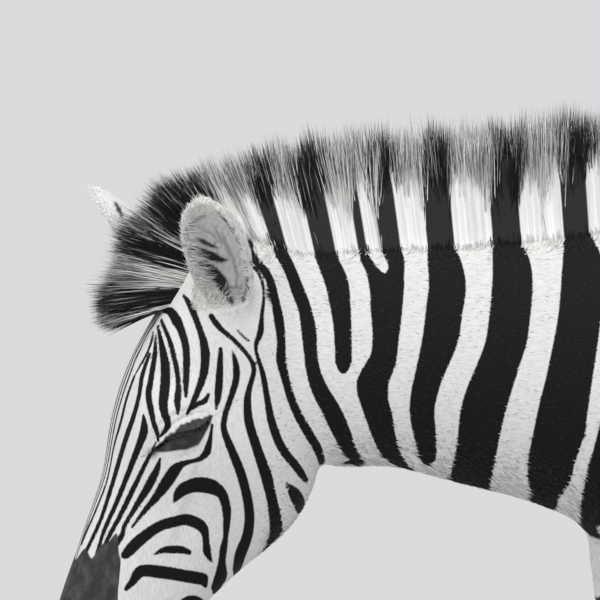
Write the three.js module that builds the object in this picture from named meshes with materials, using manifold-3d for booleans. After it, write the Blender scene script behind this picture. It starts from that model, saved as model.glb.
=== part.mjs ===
// Plains zebra, adult, life size, standing square with its head hung low and its eyes closed.
// Millimetres, +Z up. The animal faces -X, its left side is toward -Y. The origin is on the floor,
// under the middle of the whole animal. Each solid reaches to the outside of the coat.

import * as THREE from 'three';
import { mergeVertices } from 'three/addons/utils/BufferGeometryUtils.js';
import Module from 'manifold-3d';

const wasm = await Module();
wasm.setup();

// ---- driving dimensions ----
const chestToOrigin = -385;      // where the front of the chest lies along X
const gap = 0.3;                 // clear gap between neighbouring solids
const pollX = -437;              // head frame: its zero point and the slope of the face
const pollZ = 1200;
const faceSlope = 17.1;          // degrees the face leans forward of vertical
const legSpread = 115;           // half the distance between the feet
const staggerHeight = 900;       // above this height a leg is not moved by its stagger
const hoofTop = 78;
const eyeRadius = 21;
const eyePlace = { s: 167, t: 3, y: 84 };
const coatColour = { white: 0xe6e2da, black: 0x1d1a18, skin: 0x38332f };

// Each row of a table is one section of the body, in the order named above the table.

// head: s down the face from the poll, top and bottom across it, half width, lean, squareness
const headRows = [
  [-62, -6, -70, 36, 0.0, 1.0],
  [-48, 22, -86, 52, 0.0, 1.0],
  [-25, 39, -98, 65, 0.0, 0.95],
  [10, 46, -112, 74, 0.1, 0.9],
  [47, 56, -126, 79, 0.15, 0.88],
  [90, 65, -142, 86, 0.2, 0.86],
  [130, 69, -164, 95, 0.25, 0.86],
  [165, 68, -171, 98, 0.25, 0.88],
  [195, 64, -168, 92, 0.2, 0.9],
  [225, 60, -158, 80, 0.1, 0.9],
  [255, 61, -139, 68, 0.0, 0.92],
  [290, 63, -116, 59, 0.0, 0.94],
  [325, 64, -96, 52, 0.0, 0.94],
  [360, 66, -78, 48, 0.0, 0.94],
  [390, 66, -67, 49, 0.0, 0.92],
  [420, 64, -67, 51, 0.05, 0.9],
  [440, 57, -58, 47, 0.1, 0.9],
  [456, 45, -42, 38, 0.1, 0.92],
  [468, 26, -24, 25, 0.0, 1.0],
];

// neck and trunk: x, top, bottom, half width, lean, squareness
const neckRows = [
  [-462, 1226, 1130, 50, 0.0, 1.0],
  [-420, 1250, 1075, 64, -0.1, 1.0],
  [-380, 1257, 1036, 69, -0.2, 1.0],
  [-340, 1260, 1010, 73, -0.25, 1.0],
  [-298, 1262, 1003, 77, -0.25, 1.0],
  [-236, 1264, 1006, 83, -0.25, 1.0],
  [-172, 1264, 988, 91, -0.25, 1.0],
  [-91, 1267, 969, 105, -0.25, 1.0],
  [-22, 1273, 944, 122, -0.25, 1.0],
  [40, 1283, 900, 138, -0.25, 1.0],
  [120, 1294, 850, 150, -0.2, 1.0],
];
const trunkRows = [
  [12, 945, 880, 60, 0.0, 1.0],
  [28, 1000, 841, 96, 0.0, 1.0],
  [54, 1090, 794, 131, 0.0, 1.0],
  [90, 1215, 750, 158, -0.1, 0.95],
  [150, 1290, 716, 176, -0.2, 0.95],
  [220, 1307, 696, 188, -0.25, 0.95],
  [300, 1292, 680, 202, -0.2, 0.95],
  [400, 1263, 664, 218, -0.1, 0.95],
  [520, 1245, 652, 228, -0.05, 0.95],
  [640, 1244, 650, 232, -0.05, 0.95],
  [760, 1258, 660, 229, 0.0, 0.95],
  [870, 1280, 688, 224, 0.05, 0.95],
  [970, 1296, 733, 219, 0.1, 0.95],
  [1070, 1290, 800, 210, 0.1, 0.95],
  [1160, 1262, 870, 188, 0.05, 0.97],
  [1230, 1222, 930, 155, 0.0, 1.0],
  [1285, 1172, 985, 110, 0.0, 1.0],
  [1312, 1120, 1035, 55, 0.0, 1.0],
];

// legs: height, x, reach forward, reach back, half width, distance from the midline
const foreRows = [
  [930, 150, 80, 80, 48, 100],
  [860, 152, 96, 96, 66, 112],
  [790, 158, 90, 96, 66, 120],
  [735, 166, 74, 82, 59, 122],
  [686, 172, 60, 66, 50, 121],
  [630, 175, 49, 50, 43, 119],
  [570, 176, 41, 41, 37, 117],
  [500, 176, 35, 34, 33, legSpread],
  [458, 176, 37, 34, 35, legSpread],
  [422, 175, 40, 34, 37, legSpread],
  [386, 177, 34, 31, 32, legSpread],
  [345, 180, 26, 27, 26, legSpread],
  [270, 182, 24, 26, 22, legSpread],
  [208, 183, 25, 29, 23, legSpread],
  [172, 182, 30, 37, 28, legSpread],
  [140, 176, 27, 31, 26, legSpread],
  [106, 164, 28, 27, 27, legSpread],
  [hoofTop + gap, 155, 35, 31, 33, legSpread],
];
const hindRows = [
  [1080, 1115, 120, 110, 60, 110],
  [990, 1112, 165, 160, 84, 122],
  [900, 1104, 172, 156, 92, 130],
  [820, 1097, 160, 132, 88, 132],
  [760, 1099, 134, 108, 79, 130],
  [700, 1112, 104, 88, 65, 126],
  [645, 1138, 79, 71, 51, 122],
  [590, 1171, 57, 58, 40, 118],
  [548, 1198, 46, 55, 34, 116],
  [517, 1214, 42, 58, 33, legSpread],
  [482, 1222, 40, 47, 34, legSpread],
  [442, 1222, 34, 35, 30, legSpread],
  [390, 1216, 29, 29, 25, legSpread],
  [300, 1208, 26, 27, 23, legSpread],
  [216, 1202, 27, 30, 24, legSpread],
  [176, 1198, 31, 38, 29, legSpread],
  [142, 1190, 27, 31, 26, legSpread],
  [106, 1177, 28, 27, 27, legSpread],
  [hoofTop + gap, 1168, 35, 31, 33, legSpread],
];
// hoof: height, shift of the centre forward, reach forward, reach back, half width
const hoofRows = [
  [hoofTop, 0, 35.5, 31.5, 33.5],
  [66, 4, 37, 33, 35],
  [8, 13, 48, 40, 43],
  [0, 14, 47, 39, 42],
];
const legPlaces = {
  foreleg_left: { rows: foreRows, side: -1, stagger: 0 },
  foreleg_right: { rows: foreRows, side: 1, stagger: 55 },
  hindleg_left: { rows: hindRows, side: -1, stagger: 25 },
  hindleg_right: { rows: hindRows, side: 1, stagger: -60 },
};

// mane and forelock: x, height of the hair tips, height below the roots, half widths low and high
const maneRows = [
  [-520, 1312, 1246, 14, 8],
  [-500, 1335, 1238, 22, 12],
  [-462, 1352, 1232, 27, 14],
  [-420, 1362, 1232, 28, 13],
  [-361, 1376, 1234, 28, 12],
  [-300, 1383, 1236, 28, 12],
  [-243, 1393, 1238, 28, 12],
  [-120, 1398, 1240, 28, 12],
  [0, 1399, 1246, 28, 12],
  [90, 1397, 1262, 27, 12],
  [140, 1385, 1276, 25, 12],
  [185, 1356, 1286, 22, 11],
  [222, 1322, 1290, 16, 9],
];
const forelockRows = [
  [-455, 1262, 1204, 24, 24],
  [-490, 1284, 1186, 38, 34],
  [-525, 1286, 1172, 44, 38],
  [-552, 1264, 1163, 40, 34],
  [-572, 1240, 1166, 28, 26],
  [-580, 1222, 1184, 14, 12],
];

// tail: x, height, radius, direction of the section's front in degrees above forward
const dockRows = [
  [1235, 1195, 30, 85],
  [1282, 1192, 29, 98],
  [1322, 1170, 26, 128],
  [1347, 1120, 23, 160],
  [1358, 1040, 21, 174],
  [1362, 940, 19, 180],
  [1361, 850, 17, 180],
  [1360, 800, 16, 180],
];
const tuftRows = [
  [1360, 862, 19, 180],
  [1359, 815, 26, 180],
  [1358, 740, 33, 180],
  [1356, 650, 37, 180],
  [1354, 570, 35, 180],
  [1352, 505, 24, 180],
  [1351, 470, 9, 180],
];

// ears: fraction of the length, half width, half depth
const earRows = [
  [-0.08, 22, 22],
  [0.08, 29, 26],
  [0.25, 35, 28],
  [0.45, 37, 27],
  [0.65, 36, 23],
  [0.82, 30, 17],
  [0.94, 19, 10],
  [1.0, 7, 5],
];
const earHollow = { from: 1, widthScale: 0.8, depthScale: 0.85, shift: 13 };
const earPlaces = {
  ear_left: { base: [-430, -56, 1186], tip: [-478, -133, 1299], open: [-0.45, -0.8, -0.1] },
  ear_right: { base: [-455, 60, 1192], tip: [-551, 113, 1314], open: [-0.6, 0.25, -0.75] },
};

// ---- solids from rings ----

// One section: a superellipse about `centre`, reaching `plus` along +u, `minus` along -u and `wide`
// along v. `lean` makes the +u half wider and the other narrower, `power` below 1 squares it off.
function section(centre, u, v, plus, minus, wide, lean, power, count) {
  const points = [];
  for (let i = 0; i < count; i++) {
    const angle = ((i + 0.5) / count) * 2 * Math.PI;
    const rise = Math.sign(Math.sin(angle)) * Math.abs(Math.sin(angle)) ** power;
    const spread = Math.sign(Math.cos(angle)) * Math.abs(Math.cos(angle)) ** power;
    const alongU = rise * (rise > 0 ? plus : minus);
    const alongV = spread * wide * (1 + lean * rise);
    points.push(centre.clone().addScaledVector(u, alongU).addScaledVector(v, alongV));
  }
  return points;
}

// A closed skin over a list of sections of equal count, with a flat fan at each end.
function loft(rings) {
  const count = rings[0].length;
  const points = rings.flat();
  const triangles = [];
  for (let r = 0; r < rings.length - 1; r++) {
    for (let i = 0; i < count; i++) {
      const a = r * count + i;
      const b = r * count + ((i + 1) % count);
      triangles.push(a, b, b + count, a, b + count, a + count);
    }
  }
  const last = (rings.length - 1) * count;
  for (let i = 1; i < count - 1; i++) {
    triangles.push(0, i + 1, i, last, last + i, last + i + 1);
  }
  const geometry = new THREE.BufferGeometry().setFromPoints(points);
  geometry.setIndex(triangles);
  return geometry;
}

function toSolid(geometry) {
  const plain = geometry.index ? geometry.clone() : geometry;
  plain.deleteAttribute('normal');
  plain.deleteAttribute('uv');
  const merged = mergeVertices(plain, 1e-4);
  const make = (triangles) => new wasm.Manifold(new wasm.Mesh({
    numProp: 3,
    vertProperties: new Float32Array(merged.attributes.position.array),
    triVerts: new Uint32Array(triangles),
  }));
  const triangles = Array.from(merged.index.array);
  const solid = make(triangles);
  return solid.volume() > 0 ? solid : make(triangles.reverse());
}

function toGeometry(solid) {
  const mesh = solid.getMesh();
  const geometry = new THREE.BufferGeometry();
  geometry.setAttribute('position', new THREE.BufferAttribute(mesh.vertProperties, 3));
  geometry.setIndex(new THREE.BufferAttribute(mesh.triVerts, 1));
  return geometry;
}

const across = new THREE.Vector3(0, 1, 0);

// A direction in the plane of symmetry, in degrees above forward (-X).
function inSide(degrees) {
  const angle = THREE.MathUtils.degToRad(degrees);
  return new THREE.Vector3(-Math.cos(angle), 0, Math.sin(angle));
}

const faceOut = inSide(faceSlope);          // square to the face line, out of the forehead
const faceDown = inSide(faceSlope - 90);    // down the face line

function headPoint(s, t, y) {
  return new THREE.Vector3(pollX, y, pollZ).addScaledVector(faceDown, s).addScaledVector(faceOut, t);
}

// ---- the body's lofts; `grow` makes each a little fatter, to cut clearance with ----

function headSolid(grow) {
  return toSolid(loft(headRows.map(([s, top, bottom, wide, lean, power]) => {
    const middle = (top + bottom) / 2;
    const half = (top - bottom) / 2 + grow;
    return section(headPoint(s, middle, 0), faceOut, across, half, half, wide + grow, lean, power, 22);
  })));
}

function sideSolid(rows, count, grow) {
  const up = inSide(90);
  return toSolid(loft(rows.map(([x, top, bottom, wide, lean, power]) => {
    const half = (top - bottom) / 2 + grow;
    const centre = new THREE.Vector3(x, 0, (top + bottom) / 2);
    return section(centre, up, across, half, half, wide + grow, lean, power, count);
  })));
}

function legSolid({ rows, side, stagger }, grow) {
  return toSolid(loft(rows.map(([z, x, fore, aft, wide, y]) => {
    const moved = x + stagger * Math.max(0, 1 - z / staggerHeight);
    const centre = new THREE.Vector3(moved, side * y, z);
    return section(centre, inSide(0), across, fore + grow, aft + grow, wide + grow, 0, 0.95, 12);
  })));
}

function tailSolid(rows, count, grow) {
  return toSolid(loft(rows.map(([x, z, radius, degrees]) => {
    const size = radius + grow;
    return section(new THREE.Vector3(x, 0, z), inSide(degrees), across, size, size, size, 0, 1, count);
  })));
}

// ---- pieces of their own ----

function hoofSolid({ rows, side, stagger }) {
  const [, crownX, , , , y] = rows[rows.length - 1];
  return toSolid(loft(hoofRows.map(([z, shift, fore, aft, wide]) => {
    const moved = crownX - shift + stagger * (1 - hoofTop / staggerHeight);
    return section(new THREE.Vector3(moved, side * y, z), inSide(0), across, fore, aft, wide, 0, 0.9, 12);
  })));
}

// A wedge of upright hair: wide at the roots, narrow at the tips.
function hairSolid(rows) {
  const up = inSide(90);
  return toSolid(loft(rows.map(([x, top, bottom, low, high]) => {
    const half = (top - bottom) / 2;
    const centre = new THREE.Vector3(x, 0, (top + bottom) / 2);
    const wide = (low + high) / 2;
    return section(centre, up, across, half, half, wide, (high - low) / (high + low), 0.7, 10);
  })));
}

// A leaf-shaped cup: the outer leaf with the same leaf, slimmer and moved toward the opening, cut out.
function earSolid({ base, tip, open }) {
  const foot = new THREE.Vector3(...base);
  const axis = new THREE.Vector3(...tip).sub(foot);
  const out = new THREE.Vector3(...open);
  out.addScaledVector(axis, -out.dot(axis) / axis.lengthSq()).normalize();
  const wideWay = new THREE.Vector3().crossVectors(axis, out).normalize();
  const leaf = (rows, widthScale, depthScale, shift) => toSolid(loft(rows.map(([f, wide, deep]) => {
    const centre = foot.clone().addScaledVector(axis, f).addScaledVector(out, shift);
    return section(centre, out, wideWay, deep * depthScale, deep * depthScale, wide * widthScale, 0, 1, 12);
  })));
  const hollow = earHollow;
  const cup = leaf(earRows.slice(hollow.from, -1), hollow.widthScale, hollow.depthScale, hollow.shift);
  return leaf(earRows, 1, 1, 0).subtract(cup);
}

function ball(centre, radius) {
  const geometry = new THREE.SphereGeometry(radius, 12, 8);
  geometry.translate(centre.x, centre.y, centre.z);
  return toSolid(geometry);
}

// A box between corners, turned by `degrees` about the Y axis through `pivot`.
function block([x0, y0, z0], [x1, y1, z1], degrees = 0, pivot = [0, 0, 0]) {
  const geometry = new THREE.BoxGeometry(x1 - x0, y1 - y0, z1 - z0);
  geometry.translate((x0 + x1) / 2, (y0 + y1) / 2, (z0 + z1) / 2);
  geometry.rotateY(THREE.MathUtils.degToRad(degrees));
  geometry.translate(...pivot);
  return toSolid(geometry);
}

// ---- the whole body, then thin cuts ----

function wholeBody(grow) {
  let body = sideSolid(trunkRows, 24, grow).add(sideSolid(neckRows, 20, grow)).add(headSolid(grow));
  for (const leg of Object.values(legPlaces)) body = body.add(legSolid(leg, grow));
  return body.add(tailSolid(dockRows, 10, grow));
}

const far = 2000;
const pieces = {};
let body = wholeBody(0);
const clearance = wholeBody(gap);

// Takes what lies inside a box out of the body as a piece of its own, and leaves the gap around it.
function takeBox(name, low, high, degrees, pivot) {
  const [x0, y0, z0] = low;
  const [x1, y1, z1] = high;
  pieces[name] = body.intersect(block(low, high, degrees, pivot));
  const around = block([x0 - gap, y0 - gap, z0 - gap], [x1 + gap, y1 + gap, z1 + gap], degrees, pivot);
  body = body.subtract(around);
}

// legs: cut level below the trunk, then at the knee or hock
const legCuts = {
  fore: { joint: 440, top: 684, lower: [0, 500], upper: [0, 262] },
  hind: { joint: 505, top: 712, lower: [500, 1500], upper: [940, 1500] },
};
for (const [name, leg] of Object.entries(legPlaces)) {
  const cut = name.startsWith('fore') ? legCuts.fore : legCuts.hind;
  const inner = leg.side < 0 ? -far : 12;
  const outer = leg.side < 0 ? -12 : far;
  takeBox(`${name}_lower`, [cut.lower[0], inner, -far], [cut.lower[1], outer, cut.joint]);
  takeBox(`${name}_upper`, [cut.upper[0], inner, cut.joint], [cut.upper[1], outer, cut.top]);
  pieces[`hoof_${name.replace('leg', '')}`] = hoofSolid(leg);
}

// tail, muzzle, head, neck and the three lengths of the trunk, each cut square to its own run
const dockCut = 1326;
const muzzleCut = 332;
const muzzleDepth = 150;
const throatCut = { x: -352, z: 1100, lean: -20 };
const shoulderCut = { x: 50, z: 1100, lean: 15 };
const neckCut = -150;
const girthCut = 330;
const flankCut = 850;
const muzzlePoint = headPoint(muzzleCut, 0, 0).toArray();
takeBox('tail_dock', [dockCut, -far, 400], [far, far, far]);
takeBox('muzzle', [-far, -far, -far], [muzzleDepth, far, 0], faceSlope, muzzlePoint);
takeBox('head', [-far, -far, -far], [0, far, far], throatCut.lean, [throatCut.x, 0, throatCut.z]);
takeBox('neck_upper', [-far, -far, -far], [neckCut, far, far]);
takeBox('neck_lower', [-far, -far, -far], [0, far, far], shoulderCut.lean, [shoulderCut.x, 0, shoulderCut.z]);
takeBox('trunk_front', [-far, -far, -far], [girthCut, far, far]);
takeBox('trunk_middle', [-far, -far, -far], [flankCut, far, far]);
pieces.trunk_rear = body;

// eyes sit in sockets that open through the side of the head
for (const [name, side] of [['eye_left', -1], ['eye_right', 1]]) {
  const centre = headPoint(eyePlace.s, eyePlace.t, side * eyePlace.y);
  pieces.head = pieces.head.subtract(ball(centre, eyeRadius + gap));
  pieces[name] = ball(centre, eyeRadius);
}

// hair and ears stand on the body, so they are cut by it
for (const [name, place] of Object.entries(earPlaces)) {
  pieces[name] = earSolid(place).subtract(clearance);
}
const ears = earSolid(earPlaces.ear_left).add(earSolid(earPlaces.ear_right));
const maneCuts = { mane_front: [-far, -260], mane_middle: [-260 + gap, -40], mane_rear: [-40 + gap, far] };
const maneWhole = hairSolid(maneRows).subtract(clearance);
for (const [name, [x0, x1]] of Object.entries(maneCuts)) {
  pieces[name] = maneWhole.intersect(block([x0, -far, 0], [x1, far, far]));
}
pieces.forelock = hairSolid(forelockRows).subtract(clearance).subtract(hairSolid(maneRows));
pieces.tail_tuft = tailSolid(tuftRows, 12, 0).subtract(tailSolid(dockRows, 10, gap));

// ---- the scene graph ----

const finishes = {
  striped: { color: coatColour.white, roughness: 0.8 },
  dark: { color: coatColour.black, roughness: 0.85 },
  bare: { color: coatColour.skin, roughness: 0.6 },
  horn: { color: coatColour.skin, roughness: 0.5 },
  wet: { color: coatColour.black, roughness: 0.1 },
};

function finishOf(name) {
  if (name.startsWith('hoof')) return finishes.horn;
  if (name.startsWith('eye')) return finishes.wet;
  if (name === 'muzzle') return finishes.bare;
  if (name === 'tail_tuft' || name === 'forelock') return finishes.dark;
  return finishes.striped;
}

const zebra = new THREE.Group();
zebra.position.x = chestToOrigin;
for (const [name, solid] of Object.entries(pieces)) {
  const mesh = new THREE.Mesh(toGeometry(solid), new THREE.MeshStandardMaterial({ metalness: 0, ...finishOf(name) }));
  mesh.name = name;
  zebra.add(mesh);
}

export default zebra;
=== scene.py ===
import math

import bmesh
import bpy
import numpy as np
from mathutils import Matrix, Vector
from mathutils.bvhtree import BVHTree


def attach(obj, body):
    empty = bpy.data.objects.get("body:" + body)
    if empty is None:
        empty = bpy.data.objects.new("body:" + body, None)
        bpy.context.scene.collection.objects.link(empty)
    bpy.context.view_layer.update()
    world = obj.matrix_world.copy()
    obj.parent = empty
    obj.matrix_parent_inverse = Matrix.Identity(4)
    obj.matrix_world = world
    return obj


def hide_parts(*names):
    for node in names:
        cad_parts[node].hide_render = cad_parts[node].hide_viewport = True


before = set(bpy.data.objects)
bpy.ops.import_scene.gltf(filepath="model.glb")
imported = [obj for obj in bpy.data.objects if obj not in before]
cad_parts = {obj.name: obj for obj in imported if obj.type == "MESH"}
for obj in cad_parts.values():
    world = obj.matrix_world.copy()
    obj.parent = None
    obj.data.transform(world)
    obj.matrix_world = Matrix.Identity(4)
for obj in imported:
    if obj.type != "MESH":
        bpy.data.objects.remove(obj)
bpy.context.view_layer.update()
print("frame of", len(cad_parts), "nodes")
draws = np.random.default_rng(11)

# The body is worked out in millimetres with X = 0 at the front of the chest, then moved to the frame.
chestToOrigin = -385.0
poll = np.array([-437.0, 0.0, 1200.0])
faceSlope = math.radians(17.1)
faceOut = np.array([-math.cos(faceSlope), 0, math.sin(faceSlope)])
faceDown = np.array([-math.sin(faceSlope), 0, -math.cos(faceSlope)])

# s down the face, top, bottom, half width, lean, squareness
headRows = [
    [-62, -6, -70, 36, 0, 1], [-48, 22, -86, 52, 0, 1], [-25, 39, -98, 65, 0, 0.95],
    [10, 46, -112, 74, 0.1, 0.9], [47, 56, -126, 79, 0.15, 0.88], [90, 65, -142, 86, 0.2, 0.86],
    [130, 69, -164, 95, 0.25, 0.86], [165, 68, -171, 98, 0.25, 0.88], [195, 64, -168, 92, 0.2, 0.9],
    [225, 60, -158, 80, 0.1, 0.9], [255, 61, -139, 68, 0, 0.92], [290, 63, -116, 59, 0, 0.94],
    [325, 64, -96, 52, 0, 0.94], [360, 66, -78, 48, 0, 0.94], [390, 66, -67, 49, 0, 0.92],
    [420, 64, -67, 51, 0.05, 0.9], [440, 57, -58, 47, 0.1, 0.9], [456, 45, -42, 38, 0.1, 0.92],
    [468, 26, -24, 25, 0, 1],
]
# x, top, bottom, half width, lean, squareness
neckRows = [
    [-462, 1226, 1130, 50, 0, 1], [-420, 1250, 1075, 64, -0.1, 1], [-380, 1257, 1036, 69, -0.2, 1],
    [-340, 1260, 1010, 73, -0.25, 1], [-298, 1262, 1003, 77, -0.25, 1], [-236, 1264, 1006, 83, -0.25, 1],
    [-172, 1264, 988, 91, -0.25, 1], [-91, 1267, 969, 105, -0.25, 1], [-22, 1273, 944, 122, -0.25, 1],
    [40, 1283, 900, 138, -0.25, 1], [120, 1294, 850, 150, -0.2, 1],
]
trunkRows = [
    [12, 945, 880, 60, 0, 1], [28, 1000, 841, 96, 0, 1], [54, 1090, 794, 131, 0, 1],
    [90, 1215, 750, 158, -0.1, 0.95], [150, 1290, 716, 176, -0.2, 0.95], [220, 1307, 696, 188, -0.25, 0.95],
    [300, 1292, 680, 202, -0.2, 0.95], [400, 1263, 664, 218, -0.1, 0.95],
    [520, 1245, 652, 228, -0.05, 0.95], [640, 1244, 650, 232, -0.05, 0.95], [760, 1258, 660, 229, 0, 0.95],
    [870, 1280, 688, 224, 0.05, 0.95], [970, 1296, 733, 219, 0.1, 0.95], [1070, 1290, 800, 210, 0.1, 0.95],
    [1160, 1262, 870, 188, 0.05, 0.97], [1230, 1222, 930, 155, 0, 1], [1285, 1172, 985, 110, 0, 1],
    [1312, 1120, 1035, 55, 0, 1],
]
# height, x, reach forward, reach back, half width, distance from the midline
foreRows = [
    [930, 150, 80, 80, 48, 100], [860, 152, 96, 96, 66, 112], [790, 158, 90, 96, 66, 120],
    [735, 166, 74, 82, 59, 122], [686, 172, 60, 66, 50, 121], [630, 175, 49, 50, 43, 119],
    [570, 176, 41, 41, 37, 117], [500, 176, 35, 34, 33, 115], [458, 176, 37, 34, 35, 115],
    [422, 175, 40, 34, 37, 115], [386, 177, 34, 31, 32, 115], [345, 180, 26, 27, 26, 115],
    [270, 182, 24, 26, 22, 115], [208, 183, 25, 29, 23, 115], [172, 182, 30, 37, 28, 115],
    [140, 176, 27, 31, 26, 115], [106, 164, 28, 27, 27, 115], [78, 155, 35, 31, 33, 115],
]
hindRows = [
    [1080, 1115, 120, 110, 60, 110], [990, 1112, 165, 160, 84, 122], [900, 1104, 172, 156, 92, 130],
    [820, 1097, 160, 132, 88, 132], [760, 1099, 134, 108, 79, 130], [700, 1112, 104, 88, 65, 126],
    [645, 1138, 79, 71, 51, 122], [590, 1171, 57, 58, 40, 118], [548, 1198, 46, 55, 34, 116],
    [517, 1214, 42, 58, 33, 115], [482, 1222, 40, 47, 34, 115], [442, 1222, 34, 35, 30, 115],
    [390, 1216, 29, 29, 25, 115], [300, 1208, 26, 27, 23, 115], [216, 1202, 27, 30, 24, 115],
    [176, 1198, 31, 38, 29, 115], [142, 1190, 27, 31, 26, 115], [106, 1177, 28, 27, 27, 115],
    [78, 1168, 35, 31, 33, 115],
]
# x, height and radius along the tail bone
dockRows = [
    [1235, 1195, 28], [1282, 1192, 27], [1322, 1170, 24], [1347, 1120, 21], [1358, 1040, 19],
    [1362, 940, 17], [1361, 850, 15], [1360, 812, 13],
]
# fraction of the length, half width, half depth
earRows = [
    [-0.2, 20, 20], [-0.08, 24, 24], [0.08, 29, 26], [0.25, 35, 28], [0.45, 37, 27], [0.65, 36, 23],
    [0.82, 30, 17], [0.94, 19, 10], [1, 7, 5],
]
ears = {
    "left": {"base": (-430, -56, 1186), "tip": (-478, -133, 1299), "open": (-0.45, -0.8, -0.1),
             "band": (0.62, 0.15)},
    "right": {"base": (-455, 60, 1192), "tip": (-551, 113, 1314), "open": (-0.6, 0.25, -0.75),
              "band": (0.79, 0.04)},
}
legs = {
    "foreLeft": {"rows": foreRows, "side": -1, "stagger": 0},
    "foreRight": {"rows": foreRows, "side": 1, "stagger": 55},
    "hindLeft": {"rows": hindRows, "side": -1, "stagger": 25},
    "hindRight": {"rows": hindRows, "side": 1, "stagger": -60},
}
staggerHeight = 900.0  # a leg's stagger grows from nothing here to its whole at the ground
coat = {"bodyDepth": 2.0, "faceDepth": 1.2}


# Rows sampled evenly along their first column, then blurred by a Gaussian of soften row spacings.
def smoothTable(rows, count=360, soften=0.35):
    rows = np.array(sorted(rows), float)
    q = np.linspace(rows[0, 0], rows[-1, 0], count)
    width = soften * count / (len(rows) - 1)
    reach = int(3 * width) + 1
    weights = np.exp(-0.5 * (np.arange(-reach, reach + 1) / width) ** 2)
    weights /= weights.sum()
    columns = [q]
    for c in range(1, rows.shape[1]):
        values = np.interp(q, rows[:, 0], rows[:, c])
        before = 2 * values[0] - values[reach:0:-1]
        after = 2 * values[-1] - values[-2:-reach - 2:-1]
        columns.append(np.convolve(np.concatenate([before, values, after]), weights, "valid"))
    return np.array(columns)


# Distance to a run of superellipse sections: q along the run, u and v across it. rho = (|du/halfU|^m +
# |v/halfV|^m)^(1/m); the distance is r - r/rho, with r from the section's middle.
def sectionField(q, u, v, table):
    at = np.clip(q, table[0, 0], table[0, -1])
    mid, half, wide, lean, power = (np.interp(at, table[0], row) for row in table[1:])
    du = u - mid
    h = np.abs(du) / half
    w = np.abs(v) / (wide * (1 + lean * np.clip(du / half, -1, 1)))
    m = 2 / power
    rho = (h ** m + w ** m) ** (1 / m)
    r = np.sqrt(du * du + v * v)
    d = r - r / np.maximum(rho, 1e-4)
    d = np.where(r < 1e-3, -np.minimum(half, wide), d)
    beyond = np.abs(q - at)
    return np.where(beyond > 0, np.sqrt(np.maximum(d, 0) ** 2 + beyond ** 2), d)


# Distance to a round cone: the nearest point along the axis, less the radius there.
def coneField(points, a, b, ra, rb):
    a, b = np.array(a, float), np.array(b, float)
    axis = b - a
    f = np.clip((points - a) @ axis / (axis @ axis), 0, 1)
    return np.linalg.norm(points - a - f[:, None] * axis, axis=1) - (ra + (rb - ra) * f)


# Distance to an ellipsoid: k0 (k0 - 1) / k1, with k0 = |p / r| and k1 = |p / r^2|.
def eggField(points, centre, radii):
    p = points - np.array(centre, float)
    r = np.array(radii, float)
    k0 = np.linalg.norm(p / r, axis=1)
    k1 = np.linalg.norm(p / (r * r), axis=1)
    return k0 * (k0 - 1) / np.maximum(k1, 1e-6)


# The smaller of two distances, rounded where they differ by less than k.
def smoothUnion(a, b, k):
    h = np.clip(0.5 + 0.5 * (b - a) / k, 0, 1)
    return b + (a - b) * h - k * h * (1 - h)


# a with b carved out of it.
def smoothCut(a, b, k):
    return -smoothUnion(-a, b, k)


# World millimetres to the head's own axes: s down the face, t out of it, y across.
def toHead(points):
    p = points - poll
    return np.stack([p @ faceDown, p @ faceOut, p[:, 1]], axis=1)


# The head's own s, t and y back to body millimetres: each times its axis, from the poll.
def fromHead(s, t, y):
    ways = ((s, faceDown), (t, faceOut), (y, (0, 1, 0)))
    return sum(np.multiply.outer(size, way) for size, way in ways) + poll


# Foot, axis (as long as the ear), direction of the opening and direction across the leaf.
def earAxes(ear):
    foot = np.array(ear["base"], float)
    axis = np.array(ear["tip"], float) - foot
    out = np.array(ear["open"], float)
    out -= axis * (out @ axis) / (axis @ axis)
    out /= np.linalg.norm(out)
    wide = np.cross(axis, out)
    return foot, axis, out, wide / np.linalg.norm(wide)


# A bell over x: e to the power of minus (x / width) squared.
def bump(x, width):
    return np.exp(-(x / width) ** 2)


# Each vector over its length.
def unit(v):
    return v / np.maximum(np.linalg.norm(v, axis=-1, keepdims=True), 1e-9)


# The second column of the rows, at a value of the first, on straight lines between rows.
def table(rows, at):
    rows = np.array(rows, float)
    return np.interp(at, rows[:, 0], rows[:, 1])


# Side rows (position, top, bottom, ...) as position, middle, half, ...
def upright(rows):
    return [[r[0], (r[1] + r[2]) / 2, (r[1] - r[2]) / 2, *r[3:]] for r in rows]


# Leg rows as height, middle, half depth, half width, lean, squareness and distance from the midline.
def legTable(rows):
    return smoothTable([[z, x + (aft - fore) / 2, (fore + aft) / 2, wide, 0, 0.95, y]
                        for z, x, fore, aft, wide, y in rows])


headTable = smoothTable(upright(headRows))
neckTable = smoothTable(upright(neckRows))
trunkTable = smoothTable(upright(trunkRows))
foreTable = legTable(foreRows)
hindTable = legTable(hindRows)
earTable = smoothTable(earRows)
earHollow = {"from": 0.06, "to": 0.95, "widthScale": 0.84, "depthScale": 0.86, "shift": 11.0, "soft": 3.0,
             "inset": 1.0, "blend": 12.0}
eye = {"s": 167.0, "t": 3.0, "y": 84.0, "ball": 18.5, "lid": 20.8, "blend": 9.0}
# Where each part reaches, as x from and to and z from and to, and how softly it joins the rest.
regions = {"trunk": (-80, 1400, 560, 1500, 1.0), "neck": (-560, 240, 800, 1500, 55.0),
           "fore": (-20, 420, -50, 1150, 40.0), "hind": (840, 1380, -50, 1150, 40.0),
           "dock": (1180, 1420, 750, 1500, 8.0), "head": (-720, -200, 640, 1500, 16.0)}


# The ear's half width and half depth at a fraction f of its length.
def earHalves(f):
    return np.interp(f, earTable[0], earTable[1]), np.interp(f, earTable[0], earTable[2])


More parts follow.
